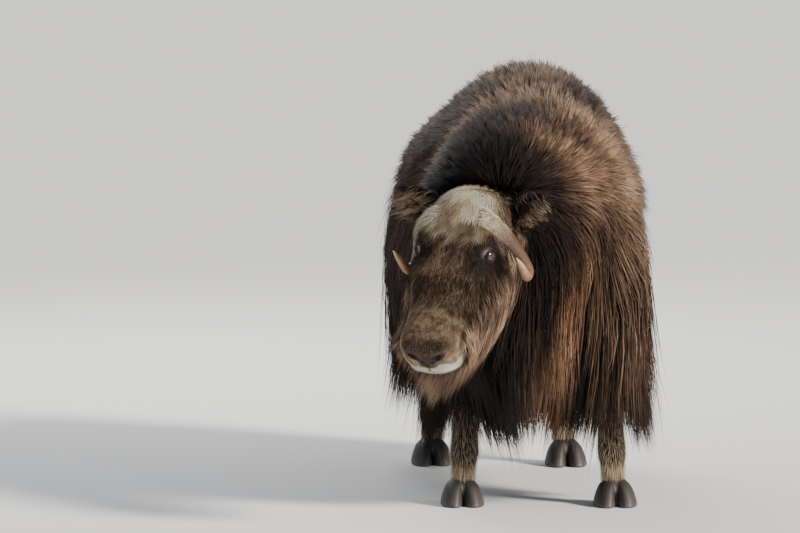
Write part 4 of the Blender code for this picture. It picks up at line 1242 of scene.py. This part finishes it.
# The hide's colour, for wherever it shows between the hairs: the coat's marks at their darkest, with the
# painted shade and sunlight that those marks carry, dark grained leather on the nose, and reddish lids. It
# stands for every solid of flesh.
BARE_RIM, LID_RIM = 0.7, 0.0225
skin_marks = body_marks(skin_corners, skin_normals)
skin_marks[on_face] = face_marks(skin_corners[on_face], skin_normals[on_face])
skin_marks[on_face & (eye_distance(skin_local) < LID_RIM)] = (0.5, 1.0, 0.16)
marked = skin.data.attributes.new("marks", "FLOAT_VECTOR", "POINT")
marked.data.foreach_set("vector", skin_marks.astype(np.float32).ravel())
uncovered = skin.data.attributes.new("bare", "FLOAT", "POINT")
rims = step_up(0.028, 0.022, eye_distance(skin_local)) * on_face
uncovered.data.foreach_set("value", np.maximum(bare * on_face, rims * BARE_RIM).astype(np.float32))
for form in forms.values():
    bpy.data.objects.remove(form)
skin.data.shade_smooth()
flesh = ["torso", "neck", "tail", "head", "ear_left", "ear_right"] + ["leg_" + which for which in STANCE]
dressed(skin, coat_finish("skin", bare_skin=True), "coat", *flesh)

# The stage: a pale floor, a low warm key light from the animal's left, as in winter sun, cool light from
# all round, a weak fill from its right and a rim light from behind.
FLOOR_SIZE = 240
bpy.ops.mesh.primitive_plane_add(size=FLOOR_SIZE)
floor = bpy.context.object
floor.name = "floor"
floor.data.materials.append(Finish("paper").show(Base_Color=(0.80, 0.80, 0.80, 1), Roughness=0.9).material)
world = bpy.data.worlds.new("studio")
bpy.context.scene.world = world
world.use_nodes = True
sky = world.node_tree.nodes["Background"].inputs
sky["Color"].default_value, sky["Strength"].default_value = (0.80, 0.86, 0.95, 1), 0.50


def lamp(name, kind, energy, colour, way, **settings):
    """A light whose beam runs against the way that is given."""
    data = bpy.data.lights.new(name, kind)
    data.energy, data.color = energy, colour
    for key, value in settings.items():
        setattr(data, key, value)
    thing = bpy.data.objects.new(name, data)
    bpy.context.scene.collection.objects.link(thing)
    thing.rotation_euler = Vector(way).to_track_quat("Z", "Y").to_euler()
    return thing


LIT = Vector((0, 0.1, 0.6))
FILL_PLACE, RIM_PLACE = Vector((-3.5, -5.0, 2.5)), Vector((-1.0, 4.0, 3.5))
lamp("fill", "AREA", 25, (0.85, 0.92, 1.0), FILL_PLACE - LIT, size=3.0).location = FILL_PLACE
lamp("rim", "AREA", 150, (1.0, 0.97, 0.93), RIM_PLACE - LIT, size=2.5).location = RIM_PLACE
lamp("key", "SUN", 7.0, (1.0, 0.93, 0.84), (0.68, -0.58, 0.46), angle=math.radians(12))

# The camera: far back and a little above, as a long lens shows the animal. The top of the hump stands
# where the picture, 800 pixels wide, has it, to the right of the middle and above it.
SCALE, PICTURE_WIDTH, SENSOR = 0.00265, 800, 36
HUMP_TOP, HUMP_RIGHT, HUMP_UP = Vector((0, 0, 1.18)), 130, 209.5
DISTANCE = 22
azimuth, elevation = math.radians(-6), math.radians(4)
level = math.cos(elevation)
back = Vector((math.sin(azimuth) * level, -math.cos(azimuth) * level, math.sin(elevation)))
right = Vector((math.cos(azimuth), math.sin(azimuth), 0))
up = back.cross(right)
lens = bpy.data.cameras.new("camera")
camera = bpy.data.objects.new("camera", lens)
bpy.context.scene.collection.objects.link(camera)
bpy.context.scene.camera = camera
focus = HUMP_TOP + STAND
camera.location = focus + back * DISTANCE
target = focus - right * HUMP_RIGHT * SCALE - up * HUMP_UP * SCALE
camera.rotation_euler = (camera.location - target).to_track_quat("Z", "Y").to_euler()
lens.sensor_width = SENSOR
lens.lens = SENSOR * DISTANCE / (PICTURE_WIDTH * SCALE)
lens.clip_end = 200
